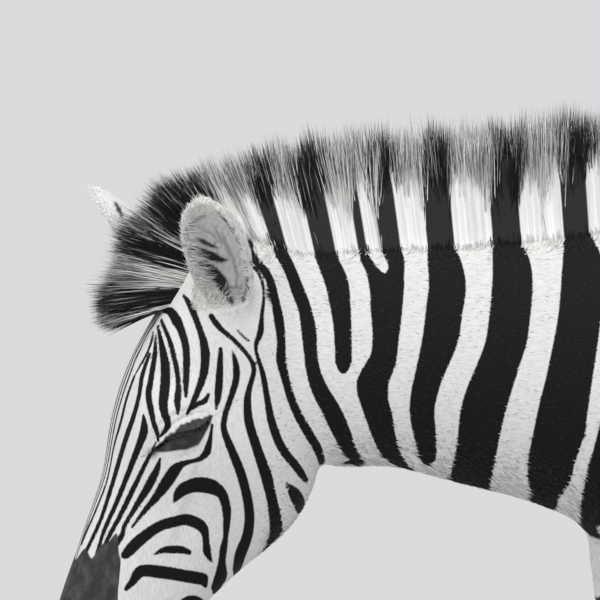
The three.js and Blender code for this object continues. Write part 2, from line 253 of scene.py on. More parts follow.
# A leaf of oval sections with a slimmer leaf, moved toward the opening, carved out of it.
def earField(points, ear):
    foot, axis, out, wide = earAxes(ear)
    length = np.linalg.norm(axis)
    p = points - foot
    f = (p @ axis) / length ** 2
    u, v = p @ out, p @ wide
    halfWide, halfDeep = earHalves(f)

    # ovals of these scales from the fraction low to high, by r - r / rho as in sectionField
    def leaf(shift, wideScale, deepScale, low, high):
        a, b = halfWide * wideScale, halfDeep * deepScale
        du = u - shift
        rho = np.sqrt((v / a) ** 2 + (du / b) ** 2)
        r = np.sqrt(v * v + du * du)
        d = r - r / np.maximum(rho, 1e-4)
        beyond = np.maximum(low - f, f - high) * length
        return np.where(beyond > 0, np.sqrt(np.maximum(d, 0) ** 2 + beyond ** 2), d)

    body = leaf(0.0, 1.0, 1.0, -0.2, 1.0)
    hollow = leaf(earHollow["shift"], earHollow["widthScale"], earHollow["depthScale"],
                  earHollow["from"], earHollow["to"])
    return smoothCut(body, hollow, earHollow["soft"])


# The whole skin as one distance field, each part worked out only near itself.
def skinField(points):
    x, y, z = points.T
    result = np.full(len(points), 200.0)

    # the points in a box of x and z
    def near(lowX, highX, lowZ, highZ):
        return np.nonzero((x > lowX) & (x < highX) & (z > lowZ) & (z < highZ))[0]

    # joins the distances d of a part to the field at the points i, rounded over k
    def join(i, d, k):
        result[i] = smoothUnion(result[i], d, k)

    for part, sections in (("trunk", trunkTable), ("neck", neckTable)):
        *box, blend = regions[part]
        i = near(*box)
        join(i, sectionField(x[i], z[i], y[i], sections), blend)
    for name, leg in legs.items():
        sections = foreTable if name[:4] == "fore" else hindTable
        *box, blend = regions[name[:4]]
        i = near(*box)
        i = i[y[i] * leg["side"] > -30]
        sheared = x[i] - leg["stagger"] * np.clip(1 - z[i] / staggerHeight, 0, 1)
        across = y[i] * leg["side"] - np.interp(z[i], sections[0], sections[6])
        join(i, sectionField(z[i], sheared, across, sections[:6]), blend)
    *box, blend = regions["dock"]
    i = near(*box)
    for (xa, za, ra), (xb, zb, rb) in zip(dockRows[:-1], dockRows[1:]):
        join(i, coneField(points[i], (xa, 0, za), (xb, 0, zb), ra, rb), blend)
    for centre, radii, blend in bodyEggs:
        reach = max(radii) + 60
        i = near(centre[0] - reach, centre[0] + reach, centre[2] - reach, centre[2] + reach)
        mirrored = np.stack([x[i], np.abs(y[i]), z[i]], axis=1)
        join(i, eggField(mirrored, centre, radii), blend)
    *box, blend = regions["head"]
    i = near(*box)
    head = toHead(points[i])
    join(i, sectionField(*head.T, headTable), blend)
    head[:, 2] = np.abs(head[:, 2])
    for centre, radii, blend in headEggs:
        join(i, eggField(head, centre, radii), blend)
    ball = np.linalg.norm(head - np.array([eye["s"], eye["t"], eye["y"]]), axis=1) - eye["lid"]
    join(i, ball, eye["blend"])
    inset = np.interp(x, [-380, -250], [coat["faceDepth"], coat["bodyDepth"]])
    result += inset
    for ear in ears.values():
        join(i, earField(points[i], ear) + earHollow["inset"], earHollow["blend"])
    return result


# centre (x, y, height), radii and how softly each egg joins the body, both sides
bodyEggs = [
    ((120, 95, 1010), (70, 52, 190), 60.0),  # shoulder blade
    ((60, 62, 870), (52, 50, 62), 40.0),  # breast muscle
    ((205, 118, 840), (70, 60, 80), 50.0),  # back of the upper arm
    ((960, 120, 1130), (70, 84, 95), 60.0),  # point of the hip
    ((1190, 90, 1060), (100, 84, 130), 60.0),  # buttock
    ((1010, 150, 780), (50, 48, 70), 40.0),  # stifle
]
# the same in the head's own axes (s, t, y)
headEggs = [
    ((150, 20, 80), (32, 18, 19), 14.0),  # brow
    ((425, 34, 34), (26, 24, 19), 14.0),  # nostril flare
    ((425, -44, 0), (30, 20, 36), 12.0),  # chin
    ((447, 12, 0), (24, 40, 42), 18.0),  # upper lip
]

# The grid's cells fan out from the head, where they are small, to the trunk, where they are large.
grid = {"headStep": 5.9, "bodyStep": 15.5, "headEnd": -330.0, "bodyStart": 120.0, "pivot": 1130.0,
        "low": (-650, -30, -88), "high": (1400, 30, 42)}


# X of each grid layer, and the cell size there.
def gridSteps():
    steps = [(grid["headEnd"], grid["headStep"]), (grid["bodyStart"], grid["bodyStep"])]
    xs = [grid["low"][0]]
    while xs[-1] < grid["high"][0]:
        xs.append(xs[-1] + table(steps, xs[-1]))
    return np.array(xs), table(steps, xs)


# Surface nets: a vertex in each cell that the surface crosses, at the mean of its edge crossings, and a
# quad round each grid edge that it crosses.
def netSurface(field, nodes):
    inside = field < 0
    size = np.array(field.shape) - 1
    corners = [(i, j, k) for i in (0, 1) for j in (0, 1) for k in (0, 1)]
    count = np.zeros(size, np.int8)
    for i, j, k in corners:
        count += inside[i:i + size[0], j:j + size[1], k:k + size[2]]
    cells = np.argwhere((count > 0) & (count < 8))
    index = np.full(size, -1, np.int64)
    index[tuple(cells.T)] = np.arange(len(cells))
    total = np.zeros((len(cells), 3))
    hits = np.zeros(len(cells))
    for a in corners:
        for axis in range(3):
            if a[axis]:
                continue
            b = list(a)
            b[axis] = 1
            ia, ib = tuple((cells + a).T), tuple((cells + b).T)
            fa, fb = field[ia], field[ib]
            crossed = (fa < 0) != (fb < 0)
            f = np.where(crossed, fa / np.where(crossed, fa - fb, 1), 0)[:, None]
            total += np.where(crossed[:, None], nodes[ia] * (1 - f) + nodes[ib] * f, 0)
            hits += crossed
    quads = []
    for axis in range(3):
        a = np.moveaxis(inside, axis, 0)
        crossed = np.argwhere(a[:-1, 1:-1, 1:-1] != a[1:, 1:-1, 1:-1])
        starts = a[:-1, 1:-1, 1:-1][tuple(crossed.T)]
        cell = np.moveaxis(index, axis, 0)
        i, j, k = crossed.T
        ring = np.stack([cell[i, j, k], cell[i, j + 1, k], cell[i, j + 1, k + 1], cell[i, j, k + 1]], axis=1)
        flip = starts if axis != 1 else ~starts
        ring[~flip] = ring[~flip][:, ::-1]
        quads.append(ring)
    return total / hits[:, None], np.concatenate(quads)


# The field and its gradient, by differences along a tetrahedron's four corners.
def slope(points, step=0.6):
    corners = np.array([[1, -1, -1], [-1, -1, 1], [-1, 1, -1], [1, 1, 1]], float)
    values = [skinField(points + step * c) for c in corners]
    return sum(values) / 4, sum(v[:, None] * c for v, c in zip(values, corners)) / (4 * step)


# Newton steps onto the zero surface, each kept under a few millimetres.
def settle(points, rounds=2, longest=4):
    for _ in range(rounds):
        value, gradient = slope(points)
        move = value[:, None] * gradient / np.maximum((gradient ** 2).sum(1), 0.05)[:, None]
        size = np.linalg.norm(move, axis=1, keepdims=True)
        points = points - move * np.minimum(1, longest / np.maximum(size, 1e-6))
    return points


# The field on the fanned grid, and the surface through it.
def skinNet():
    xs, steps = gridSteps()
    ys = np.arange(grid["low"][1], grid["high"][1] + 1.0)
    ws = np.arange(grid["low"][2], grid["high"][2] + 1.0)
    nodes = np.empty((len(xs), len(ys), len(ws), 3))
    nodes[..., 0] = xs[:, None, None]
    nodes[..., 1] = steps[:, None, None] * ys[None, :, None]
    nodes[..., 2] = grid["pivot"] + steps[:, None, None] * ws[None, None, :]
    values = skinField(nodes.reshape(-1, 3)).reshape(nodes.shape[:3])
    return netSurface(values, nodes)


# Body millimetres to the shared frame in metres.
def toFrame(points):
    return (points + np.array([chestToOrigin, 0, 0])) / 1000


# Puts a new object that holds these data into the scene, at the origin.
def addObject(name, data):
    made = bpy.data.objects.new(name, data)
    bpy.context.scene.collection.objects.link(made)
    return made


# A mesh object from points in metres and rings of point numbers.
def meshObject(name, vertices, faces, smooth=True):
    mesh = bpy.data.meshes.new(name)
    mesh.from_pydata(vertices.tolist(), [], faces if isinstance(faces, list) else faces.tolist())
    mesh.polygons.foreach_set("use_smooth", np.full(len(mesh.polygons), smooth))
    mesh.update()
    return addObject(name, mesh)


# Each chosen quad becomes four about its middle; its neighbours take the new edge points as corners.
def splitFaces(points, quads, others, chosen):
    count = len(points)
    sides = np.sort(np.stack([quads, np.roll(quads, -1, axis=1)], axis=2), axis=2)
    keys = sides[..., 0] * count + sides[..., 1]
    split = np.unique(keys[chosen])
    corner = quads[chosen]
    middleOf = count + np.searchsorted(split, keys[chosen])
    centreOf = np.broadcast_to(count + len(split) + np.arange(len(corner))[:, None], corner.shape)
    fresh = np.stack([corner, middleOf, centreOf, np.roll(middleOf, 1, axis=1)], axis=2).reshape(-1, 4)
    ends = np.stack([split // count, split % count], axis=1)
    points = np.concatenate([points, points[ends].mean(axis=1), points[corner].mean(axis=1)])
    rest = quads[~chosen]
    touched = np.isin(keys[~chosen], split).any(axis=1)
    middleAt = dict(zip(split.tolist(), range(count, count + len(split))))
    grown = []
    for face in [*rest[touched].tolist(), *others]:
        ring = []
        for a, b in zip(face, face[1:] + face[:1]):
            ring.append(a)
            key = min(a, b) * count + max(a, b)
            if key in middleAt:
                ring.append(middleAt[key])
        grown.append(ring)
    return points, np.concatenate([rest[~touched], fresh]), grown


# Splits the quads whose middles near picks, and settles the new points on the skin.
def refineWhere(points, quads, others, near):
    count = len(points)
    points, quads, others = splitFaces(points, quads, others, near(points[quads].mean(axis=1)))
    points[count:] = settle(points[count:])
    return points, quads, others

# The view that the strokes below are drawn in, 600 by 600, from the animal's left and a little in front.
view = {"turn": 12.0, "distance": 9000.0, "frame": 600, "perMillimetre": 0.9, "chestRight": 600,
        "cutHeight": 1300.0, "cutDown": 200}
headX = -380.0  # the head's marks and folds lie in front of this x
outside = -60.0  # a mark's value well away from it
turn = math.radians(view["turn"])
viewForward = np.array([math.sin(turn), math.cos(turn), 0])
viewRight = np.array([math.cos(turn), -math.sin(turn), 0])
viewUp = np.array([0, 0, 1.0])


# A place of the square view on the upright plane through the chest.
def viewPoint(across, down):
    return (viewRight * (across - view["chestRight"]) / view["perMillimetre"]
            + viewUp * (view["cutHeight"] - (down - view["cutDown"]) / view["perMillimetre"]))


viewMiddle = viewPoint(view["frame"] / 2, view["frame"] / 2)
viewEye = viewMiddle - viewForward * view["distance"]

# Black stripes of the head and neck, each a stroke of (across, down, width) in the view.
strokes = {
    "nose1": [(134, 377, 3), (127, 397, 3.5), (121, 421, 3.5), (114, 446, 2.5), (107, 480, 2), (95, 512, 2),
        (87, 530, 2.5), (78, 552, 3)],
    "nose2": [(149, 355, 3), (142, 375, 4), (139, 395, 4), (134, 415, 4.5), (127, 435, 5), (120, 457, 4.5),
        (111, 487, 4), (100, 520, 3.5), (84, 555, 3)],
    "nose3": [(143, 415, 2), (144, 423, 5.5), (144, 431, 8.5), (141, 440, 7.5), (135, 455, 6),
        (125, 480, 5), (115, 505, 4.5), (104, 530, 4), (96, 555, 3)],
    "nose4": [(156, 442, 1.5), (152, 450, 2), (149, 456, 3.5), (140, 474, 4.5), (130, 494, 5),
        (119, 517, 4.5), (107, 540, 4), (103, 555, 3)],
    "nose5": [(160, 459, 2), (157, 469, 6), (152, 479, 8), (146, 490, 8), (134, 509, 5), (124, 526, 4),
        (122, 535, 5), (114, 547, 6), (108, 556, 7)],
    "underEye": [(212, 425, 2), (211, 435, 3.5), (209, 445, 5.5), (207, 452, 7.5), (200, 459, 5),
        (191, 461, 4), (182, 464, 6), (175, 470, 11), (169, 479, 12), (162, 489, 10), (154, 500, 7),
        (146, 509, 5), (132, 527, 2)],
    "brow1": [(155.5, 335, 1.5), (154.5, 355, 4.5), (150, 380, 5), (148, 395, 6), (152, 415, 5.5),
        (157, 434, 4), (158, 441, 2)],
    "brow2": [(157.5, 326, 2.5), (160, 337, 4), (164, 360, 8.5), (164.5, 375, 9.5), (162.5, 400, 9.5),
        (164, 411, 8), (168, 425, 6), (163, 433, 4), (159, 437, 2)],
    "brow3": [(161, 320, 3), (170, 342, 4.5), (176, 367, 5), (178, 383, 5), (177.5, 400, 7), (178, 414, 2)],
    "brow4": [(160, 310, 5), (170, 311, 8), (176, 320, 10), (180, 327, 8), (185.5, 345, 7), (186.5, 360, 7),
        (186, 380, 6), (186, 396, 3)],
    "brow5": [(183, 295, 2), (190, 305, 6), (200, 330, 6), (205, 350, 8.5), (204, 372, 8), (197.5, 392, 6),
        (192, 405, 5), (187, 414, 2.5)],
    "brow5Tail": [(208.5, 394, 3), (205, 401, 5), (198, 404, 5), (190, 409, 4)],
    "temple": [(220.5, 349, 4), (220, 365, 6), (219, 385, 7.5), (218, 397, 6.5), (216, 409, 2)],
    "cheek1": [(232.5, 351, 1.5), (236, 365, 6), (236, 380, 6.5), (230, 400, 5.5), (225, 415, 5.5),
        (224, 430, 6), (232, 451, 8), (240, 471, 9), (246, 492, 9), (249.5, 515, 9.5), (247.5, 535, 10),
        (241.5, 552, 11), (238, 566, 9), (236, 578, 8)],
    "cheek2": [(211, 316, 5), (215, 322, 6), (221, 329, 5), (228, 335, 4.4), (235, 341, 4.2), (249, 357, 4),
        (254, 370, 4.6), (250, 386, 5), (247.5, 400, 7), (249, 422, 8.5), (257.5, 450, 9.5), (266, 475, 11),
        (272, 500, 10), (276, 525, 12.5), (274, 538, 11), (266, 548, 6)],
    "cheek3": [(249, 261, 2.2), (259.5, 275, 2.8), (264, 293, 2.8), (262, 314, 3.6), (260.5, 332, 6),
        (256, 344, 4), (256, 351, 3), (263, 375, 5), (267.5, 400, 6), (272.5, 425, 8), (282.5, 449, 8.5),
        (296, 466, 8), (302.5, 475, 7), (307.5, 482, 4)],
    "jowl": [(284, 480, 1.5), (289, 487, 6), (295, 495, 12), (300, 504, 12), (302, 512, 7), (300, 519, 2)],
    "lozenge4": [(153, 332, 1.4), (151, 343, 2.4), (147, 353, 2.4), (141, 364, 2.4), (136, 373, 1.6)],
    "underEar": [(237.5, 330, 2), (244, 337, 2.2), (249, 341, 2)],
    "arch1": [(174, 502, 2), (177.5, 495, 8), (185, 488, 13), (198, 485, 15), (212, 487, 14.5),
        (222, 494, 10), (225.5, 504, 9), (227, 515, 8), (225.5, 538, 5), (224, 546, 7), (222, 561, 7),
        (220.5, 577, 12), (217, 589, 11), (213, 600, 8)],
    "arch2": [(125, 555, 8), (131, 549, 11), (140, 540, 11), (160, 526, 10), (181, 520, 11), (191, 521, 11),
        (200, 525, 11), (205, 532, 8), (206, 541, 6), (207, 551, 8), (209, 557, 5), (212, 562, 2)],
    "arch3": [(155, 554, 2), (164, 550, 6), (172.5, 549.5, 7.5), (182.5, 550, 7), (189, 552.5, 5)],
    "lip1": [(126, 589, 4), (134, 580, 8), (141, 571, 11), (160, 572, 12.5), (185, 576, 12),
        (203, 579.5, 12), (206, 586, 4)],
    "lip2": [(180, 606, 7), (188, 601, 10), (197, 602, 11), (204, 609, 9)],
    "lip3": [(160, 622, 4), (175, 624, 9), (192, 630, 8)],
    "neck1": [(245, 215, 9), (246.5, 238, 7), (250, 250, 6), (256, 261, 7.5), (264, 270, 7.5),
        (270, 280, 7.8), (275, 300, 8.2), (279, 320, 9.3), (281.3, 342, 8), (281, 360, 9.5),
        (286, 381, 7.8), (291.5, 400, 8), (300.5, 420, 8.8), (312.5, 440, 9), (318.5, 451, 8.5),
        (321.5, 462, 6.5), (322.6, 471, 2)],
    "neck2": [(278, 222, 10), (278.3, 240, 11), (281, 252, 12), (289, 268, 11.5), (297.5, 290, 12.5),
        (305, 310, 12.8), (309, 332, 14.5), (310.3, 350, 13), (313, 370, 13.5), (320, 390, 16),
        (331, 410, 18), (340.5, 430, 17.5), (349.5, 450, 13.5), (355, 458, 10), (361, 466, 5)],
    "neck2Streak": [(344, 464, 3), (352, 462, 4), (364, 466, 3)],
    "neck3": [(326, 222, 17), (323, 240, 18.5), (325, 254, 20), (336, 280, 22.5), (339.5, 300, 21),
        (342, 320, 18), (343.3, 345, 16.5), (343.5, 362, 16), (343.3, 368, 11), (343, 372, 3)],
    "neck4": [(389.5, 222, 10), (389.5, 240, 16), (391.5, 250, 18.5), (396, 262, 16.5), (396, 274, 16),
        (391, 286, 26), (386.8, 300, 32), (386.5, 320, 29), (385.5, 340, 25.5), (383, 360, 26),
        (373.5, 380, 30), (372.5, 389, 31), (374.5, 402, 27), (379.5, 418, 26), (383.5, 434, 22.5),
        (389, 449, 19), (396, 460, 13), (404, 466.5, 8), (412, 470, 5), (421, 474, 3)],
    "neck4Tine": [(361.5, 249, 5), (366, 260, 10), (372, 270, 12), (378, 282, 18), (385, 297, 27)],
    "neck5": [(440, 232, 16), (440, 244, 22), (444, 260, 32), (447.5, 285, 36.5), (444, 312, 36),
        (440.5, 338, 35), (430, 372, 28), (424.5, 392, 26), (422, 410, 24.5), (424, 430, 22.5),
        (427, 447, 19), (427.5, 458, 16), (427.5, 464, 7)],
    "neck6": [(510, 230, 20), (508, 245, 28), (511, 260, 36), (512.5, 285, 40), (507.5, 335, 40),
        (501, 358, 39), (487, 397, 43), (481.5, 418, 43), (477.5, 445, 40), (473, 468, 40),
        (469.5, 485, 40)],
    "neck7": [(578, 225, 19), (578, 238, 26), (581, 250, 34), (583, 275, 42), (579, 322, 42),
        (569, 380, 45), (563.5, 408, 48), (559, 432, 49), (552, 458, 46), (549, 478, 42), (545.5, 493, 30),
        (543, 506, 22)],
    "neck8": [(648, 225, 22), (646, 250, 38), (645, 300, 46), (640, 350, 48), (630, 400, 47),
        (618, 440, 42), (606, 475, 36), (595, 505, 27), (588, 528, 15), (583, 546, 3)],
}
# The ways out of the body where a stroke runs on over the crest, or under the throat.
crestWay = (0, 0, 1)
throatWay = (-0.5, 0, -0.86)
wraps = {name: [crestWay] for name in ("neck1", "neck2", "neck3", "neck4", "neck5")}
wraps |= {name: [crestWay, throatWay] for name in ("neck6", "neck7", "neck8")}
# Fine lines down the front of the face: how many spacings they reach from the middle, the share of black,
# how far they wave on the forehead and on the nose, and their spacing by s.
noseLines = {"from": 26, "to": 350, "reach": 1.6, "black": 0.46, "foreheadWave": 0.16, "noseWave": 0.12,
             "spacing": [(20, 9), (60, 12), (119, 14.5), (186, 12), (219, 9), (284, 6.8), (350, 5)]}


# The lines of the face as their phase, their spacing, and millimetres inside the ground they cover.
def noseLineParts(points):
    s, t, y = toHead(points).T
    spacing = table(noseLines["spacing"], s)
    forehead = noseLines["foreheadWave"] * np.sin(s / 5.5 + 1.6 * y / spacing)
    phase = y / spacing + np.clip((120 - s) / 40, 0, 1) * forehead + noseLines["noseWave"] * np.sin(s / 17)
    ground = np.minimum((noseLines["reach"] - np.abs(y / spacing)) * spacing, t - 8)
    ground = np.minimum(ground, np.minimum(s - noseLines["from"], noseLines["to"] - s) / 6)
    return phase, spacing, np.where(points[:, 0] < headX, ground, outside)


# Millimetres inside one of those lines: the smaller of the line's and the ground's.
def noseLineValue(points):
    phase, spacing, ground = noseLineParts(points)
    return np.minimum(bandValue(phase, spacing, noseLines["black"]), ground)


# Points evenly spaced on a Catmull-Rom curve through the rows' first two columns; the rest follow.
def curveThrough(rows, step):
    rows = np.array(rows, float)
    padded = np.concatenate([2 * rows[:1] - rows[1:2], rows, 2 * rows[-1:] - rows[-2:-1]])
    pieces = []
    for a, b, c, d in zip(padded[:-3], padded[1:-2], padded[2:-1], padded[3:]):
        f = np.arange(0, 1, 1 / max(1, round(np.linalg.norm(c[:2] - b[:2]) / step)))[:, None]
        pieces.append(0.5 * (2 * b + (c - a) * f + (2 * a - 5 * b + 4 * c - d) * f ** 2
                             + (3 * b - a - 3 * c + d) * f ** 3))
    return np.concatenate([*pieces, rows[-1:]])


# The stroke laid on the skin: where each view ray meets it, or the skin's nearest point beside that ray.
# A width seen edge-on is opened out: the surface direction across the stroke has unit length, and its
# part at right angles to the stroke in the view gives the foreshortening.
def castStroke(rows, tree):
    samples = curveThrough(rows, 5)
    places, normals = [], []
    for across, down, _ in samples:
        target = viewPoint(across, down)
        way = Vector(target - viewEye).normalized()
        place, normal, _, _ = tree.ray_cast(Vector(viewEye), way)
        if place is None:
            place, normal, _, _ = tree.find_nearest(Vector(target - viewForward * 25))
        places.append(place)
        normals.append(normal)
    places, normals = np.array(places), np.array(normals)
    aside = (np.abs(places[:, 1]) > 7) | (places[:, 0] > -420)
    places, normals, samples = places[aside], normals[aside], samples[aside]
    along = np.gradient(places, axis=0)
    over = unit(np.cross(normals, along))
    flat = unit(np.stack([along @ viewRight, along @ viewUp], axis=1))
    shown = np.abs((over @ viewRight) * flat[:, 1] - (over @ viewUp) * flat[:, 0])
    return places, samples[:, 2] / view["perMillimetre"] / np.clip(shown, 0.55, 1)


# The skin's point met on the way in toward the place from outside.
def dropTo(tree, place, way):
    way = Vector(way).normalized()
    return tree.ray_cast(Vector(place) + way * 400, -way)[0]


# Carries the end of a stroke that is nearer to this way round to the midline.
def wrapTo(places, widths, way, tree):
    last = len(places) - 1 if places[-1] @ np.array(way) > places[0] @ np.array(way) else 0
    extra = []
    for share in (0.5, 0.0):
        x, y, z = places[last]
        found = dropTo(tree, (x, y * share, z), way)
        if found is not None:
            extra.append(found)
    tail = np.full(len(extra), widths[last])
    if last:
        return np.concatenate([places, extra]), np.concatenate([widths, tail])
    return np.concatenate([extra[::-1], places]), np.concatenate([tail, widths])


# Every stroke as its points on the skin and its widths there, in millimetres.
def layStrokes(tree):
    laid = []
    for name, rows in strokes.items():
        places, widths = castStroke(rows, tree)
        for way in wraps.get(name, []):
            places, widths = wrapTo(places, widths, way, tree)
        laid.append((places, widths))
    return laid


# Millimetres inside the nearest stroke: half its width less the distance to its line.
def strokeValue(points, laid):
    value = np.full(len(points), outside)
    for places, widths in laid:
        margin = widths.max() + 30
        low, high = places.min(axis=0) - margin, places.max(axis=0) + margin
        i = np.nonzero(((points > low) & (points < high)).all(axis=1))[0]
        if not len(i):
            continue
        p = points[i]
        best = value[i]
        for a, b, wa, wb in zip(places[:-1], places[1:], widths[:-1], widths[1:]):
            axis = b - a
            f = np.clip((p - a) @ axis / max(axis @ axis, 1e-6), 0, 1)
            away = np.linalg.norm(p - a - f[:, None] * axis, axis=1)
            best = np.maximum(best, (wa + (wb - wa) * f) / 2 + 0.25 - away)
        value[i] = best
    return value


# Bands of the body: periods in millimetres, shares of black, and where each pattern rules.
bands = {
    "shoulderX": 88.0, "lean": 0.25, "period": 82.0, "black": 0.56, "chestBlack": 0.5,
    "fanX": 770.0, "fanZ": 560.0, "fanReach": 470.0, "fanEnd": 7.0,
    "apexX": 176.0, "apexHeight": 885.0, "chevron": 1.6, "chevronHalf": 14.0,
    "foreEnd": 420.0, "hindStart": 1000.0, "legBlack": 0.54, "legInner": 0.5, "innerFrom": 112.0,
    "chestPeriod": 62.0, "bibTop": 990.0, "tailPeriod": 36.0, "bellyHalf": 13.0, "coronetTop": 94.0,
    "forks": [(350, 820, 1), (560, 1080, -1), (690, 760, 1), (930, 1020, -1), (240, 1120, -1)],
}
# how far below the top band, and how many bands lie above there
legBands = [(0, 0.0), (60, 1.0), (118, 2.0), (170, 3.0), (350, 7.2), (560, 13.0), (800, 20.2)]


# Millimetres inside the black of a repeating band, whose black is centred on each whole phase.
def bandValue(phase, period, black):
    return (black / 2 - np.abs(phase - np.round(phase))) * period


# Bands down a leg: the phase is its start plus the bands above this drop, and the period one over their
# slope there. The black narrows toward the inside of the leg.
def legBandValue(y, drop, start, wobble):
    below = np.array(legBands)
    phase = start + np.interp(drop, below[:, 0], below[:, 1])
    period = 1 / np.interp(drop + 6, below[:, 0], np.gradient(below[:, 1], below[:, 0]))
    inner = np.clip(1 - np.abs(y) / bands["innerFrom"], 0, 1)
    return bandValue(phase + wobble, period, bands["legBlack"] - bands["legInner"] * inner)


# Stripes of the trunk and legs. The flank's phase counts upright stripes by x, and behind fanX it counts
# rays about a point of the flank; the forelegs' bands are chevrons under an apex, the hind legs' bands
# follow the lowest ray; a fork is a turn of the phase by one round its point.
def bodyValue(points):
    x, y, z = points.T
    side = np.sign(y)
    shoulder, period, fanX, fanZ = (bands[key] for key in ("shoulderX", "period", "fanX", "fanZ"))
    apexTop, foreEnd = bands["apexHeight"], bands["foreEnd"]
    drift = 0.10 * np.sin(x / 95 + 1.3 * np.sin(z / 140) + 0.8 * side)
    drift += 0.09 * np.sin(z / 105 + x / 260 + side)
    lean = bands["lean"] * (z - 1290) * np.exp(-np.maximum(x - shoulder, 0) / 260)
    flank = (x - shoulder - lean) / period
    angle = np.degrees(np.arctan2(z - fanZ, x - fanX))
    perRay = math.degrees(period / bands["fanReach"])
    start = (fanX - shoulder) / period
    phase = np.where(x > fanX, start + (90 - angle) / perRay, flank)
    distance = np.hypot(x - fanX, z - fanZ)
    rayPeriod = np.clip(distance * math.radians(perRay), 20, 130)
    widths = np.where(x > fanX, rayPeriod, period)
    for forkX, forkZ, turnWay in bands["forks"]:
        phase = phase + turnWay * np.arctan2(z - forkZ, x - forkX - 25 * side) / (2 * np.pi)
    value = bandValue(phase + drift, widths, bands["black"] + 0.05 * np.sin(x / 70 + z / 90))

    slopeEnd = math.tan(math.radians(bands["fanEnd"]))
    drop = fanZ + slopeEnd * (x - fanX) - z
    lowest = start + (90 - bands["fanEnd"]) / perRay
    wobble = 0.12 * np.sin(z / 60 + x / 40 + 2 * side) + 0.25 * np.sin(z / 95 + 2 * side) * np.tanh(y / 60)
    hind = (x > bands["hindStart"]) & (drop > 0)
    value = np.where(hind, legBandValue(y, drop, lowest, wobble), value)

    shift = np.where(side < 0, legs["foreLeft"]["stagger"], legs["foreRight"]["stagger"])
    dx = x - bands["apexX"] - shift * np.clip(1 - z / staggerHeight, 0, 1)
    apex = z.copy()
    for _ in range(4):
        steep = np.interp(apex, [520, 700, apexTop], [0.12, 0.7, bands["chevron"]])
        apex = z + steep * np.sqrt(dx * dx + 60)
    fore = (apex < apexTop) & (x < foreEnd)
    value = np.where(fore, legBandValue(y, apexTop - apex, 0, wobble), value)
    edge = bands["chevronHalf"] - np.abs(apex - apexTop)
    value = np.where((x < foreEnd) & ~fore, np.maximum(value, edge), value)

    chest = (x < shoulder + lean - 6) & (apex > apexTop + bands["chevronHalf"])
    chestPhase = (z - 905 + 0.55 * np.abs(y) - 0.25 * x) / bands["chestPeriod"]
    chestBands = bandValue(chestPhase + 0.5 * drift, bands["chestPeriod"], bands["chestBlack"])
    value = np.where(chest, np.where(z < bands["bibTop"], chestBands, outside), value)

    top = np.interp(x, trunkTable[0], trunkTable[1] + trunkTable[2])
    bottom = np.interp(x, trunkTable[0], trunkTable[1] - trunkTable[2])
    spine = np.interp(x, [200, 900, 1300], [7, 12, 14]) - np.abs(y)
    spine = np.where((x > 200) & (z > top - 45), spine, outside)
    belly = np.where((x > 230) & (x < 1000) & (z < bottom + 60), bands["bellyHalf"] - np.abs(y), outside)
    value = np.maximum(value, np.maximum(spine, belly))
    tailHere = (x > np.interp(z, [800, 1100, 1160, 1200], [1300, 1322, 1312, 1330])) & (z < 1180)
    tailBands = bandValue(z / bands["tailPeriod"] + 0.2 * side, bands["tailPeriod"], 0.5)
    value = np.where(tailHere, np.maximum(tailBands, 5 - np.abs(y)), value)
    return np.maximum(value, np.clip(bands["coronetTop"] - z, outside, 12))


# s and t along the parting of the lips, from the corner of the mouth to the front
mouthLine = [(392, -35), (410, -29), (430, -20), (448, -12), (462, -7), (480, -4)]
# the dark muzzle's edge: s by t
muzzleEdge = [(-90, 392), (-40, 398), (0, 388), (14, 352), (22, 312), (34, 298), (46, 306), (62, 326),
              (90, 334)]
nostril = {"s": 424, "t": 33, "long": 13, "high": 6.5, "slant": 0.55}


# How many times its own size away the nostril's slanted comma is, at s and t.
def commaOf(s, t):
    past = s - nostril["s"]
    return np.hypot(past / nostril["long"], (t - nostril["t"] - nostril["slant"] * past) / nostril["high"])


# Painted shade (0 to 1) inside the nostrils and in the parting of the lips.
def mouthPaintedShade(points):
    s, t, y = toHead(points).T
    y = np.abs(y)
    holes = np.clip(1.5 - commaOf(s, t), 0, 1) * np.clip((y - 14) / 8, 0, 1)
    lips = bump(t - table(mouthLine, s), 1.8) * np.clip((s - 388) / 8, 0, 1)
    return np.where(points[:, 0] < headX, np.maximum(holes, 0.8 * lips), 0)


# Millimetres past the edge of the dark muzzle, whose place down the face depends on the height t above
# it.
def muzzleDepth(points):
    s, t, y = toHead(points).T
    past = s - table(muzzleEdge, t)
    fine = t + 0.12 * s
    past += 3.5 * np.sin(fine / 2.1) + 4.5 * np.sin(fine / 5.3 + 1) + 3 * np.sin(y / 3.7)
    return np.where(points[:, 0] < headX, past, outside)


farShift = (0.8, 5.0)  # how far the far side's stripes are moved, on the head and on the neck


# Millimetres inside black, anywhere on the skin; the far side bears the near side's stripes, a little
# moved.
def stripeValue(points):
    x, y, z = points.T
    moved = points.copy()
    moved[:, 1] = -np.abs(y)
    far = (np.clip(y / 30, 0, 1) * np.interp(x, [-430, headX], farShift))[:, None]
    moved += far * np.stack([np.sin(z / 60 + 1), 0 * z, np.sin(x / 55)], axis=1)
    value = strokeValue(moved, laidStrokes)
    lean = bands["lean"] * (z - 1290)
    onBody = x > bands["shoulderX"] + lean - 6
    onBody |= (z < 905) & (x > -120) | (z < bands["bibTop"]) & (x > 4)
    return np.where(onBody, np.maximum(value, bodyValue(points)), value)


netPoints, netQuads = skinNet()
netPoints = settle(netPoints)
netOthers = []
print("skin net", len(netPoints), "points")


# The eye's own axes on the side of the head: a from inner to outer corner, b up toward the brow.
lids = {"middle": (166.0, 5.0), "along": (-0.74, -0.68), "up": (-0.68, 0.74), "open": 1.7, "deep": 4.4,
        "slit": [(-36, 0), (-29, 0.5), (-18, 3.4), (-4, 2), (8, -2.4), (18, -4.6), (27, -3.4), (34, -0.5)],
        "margin": 0.9}


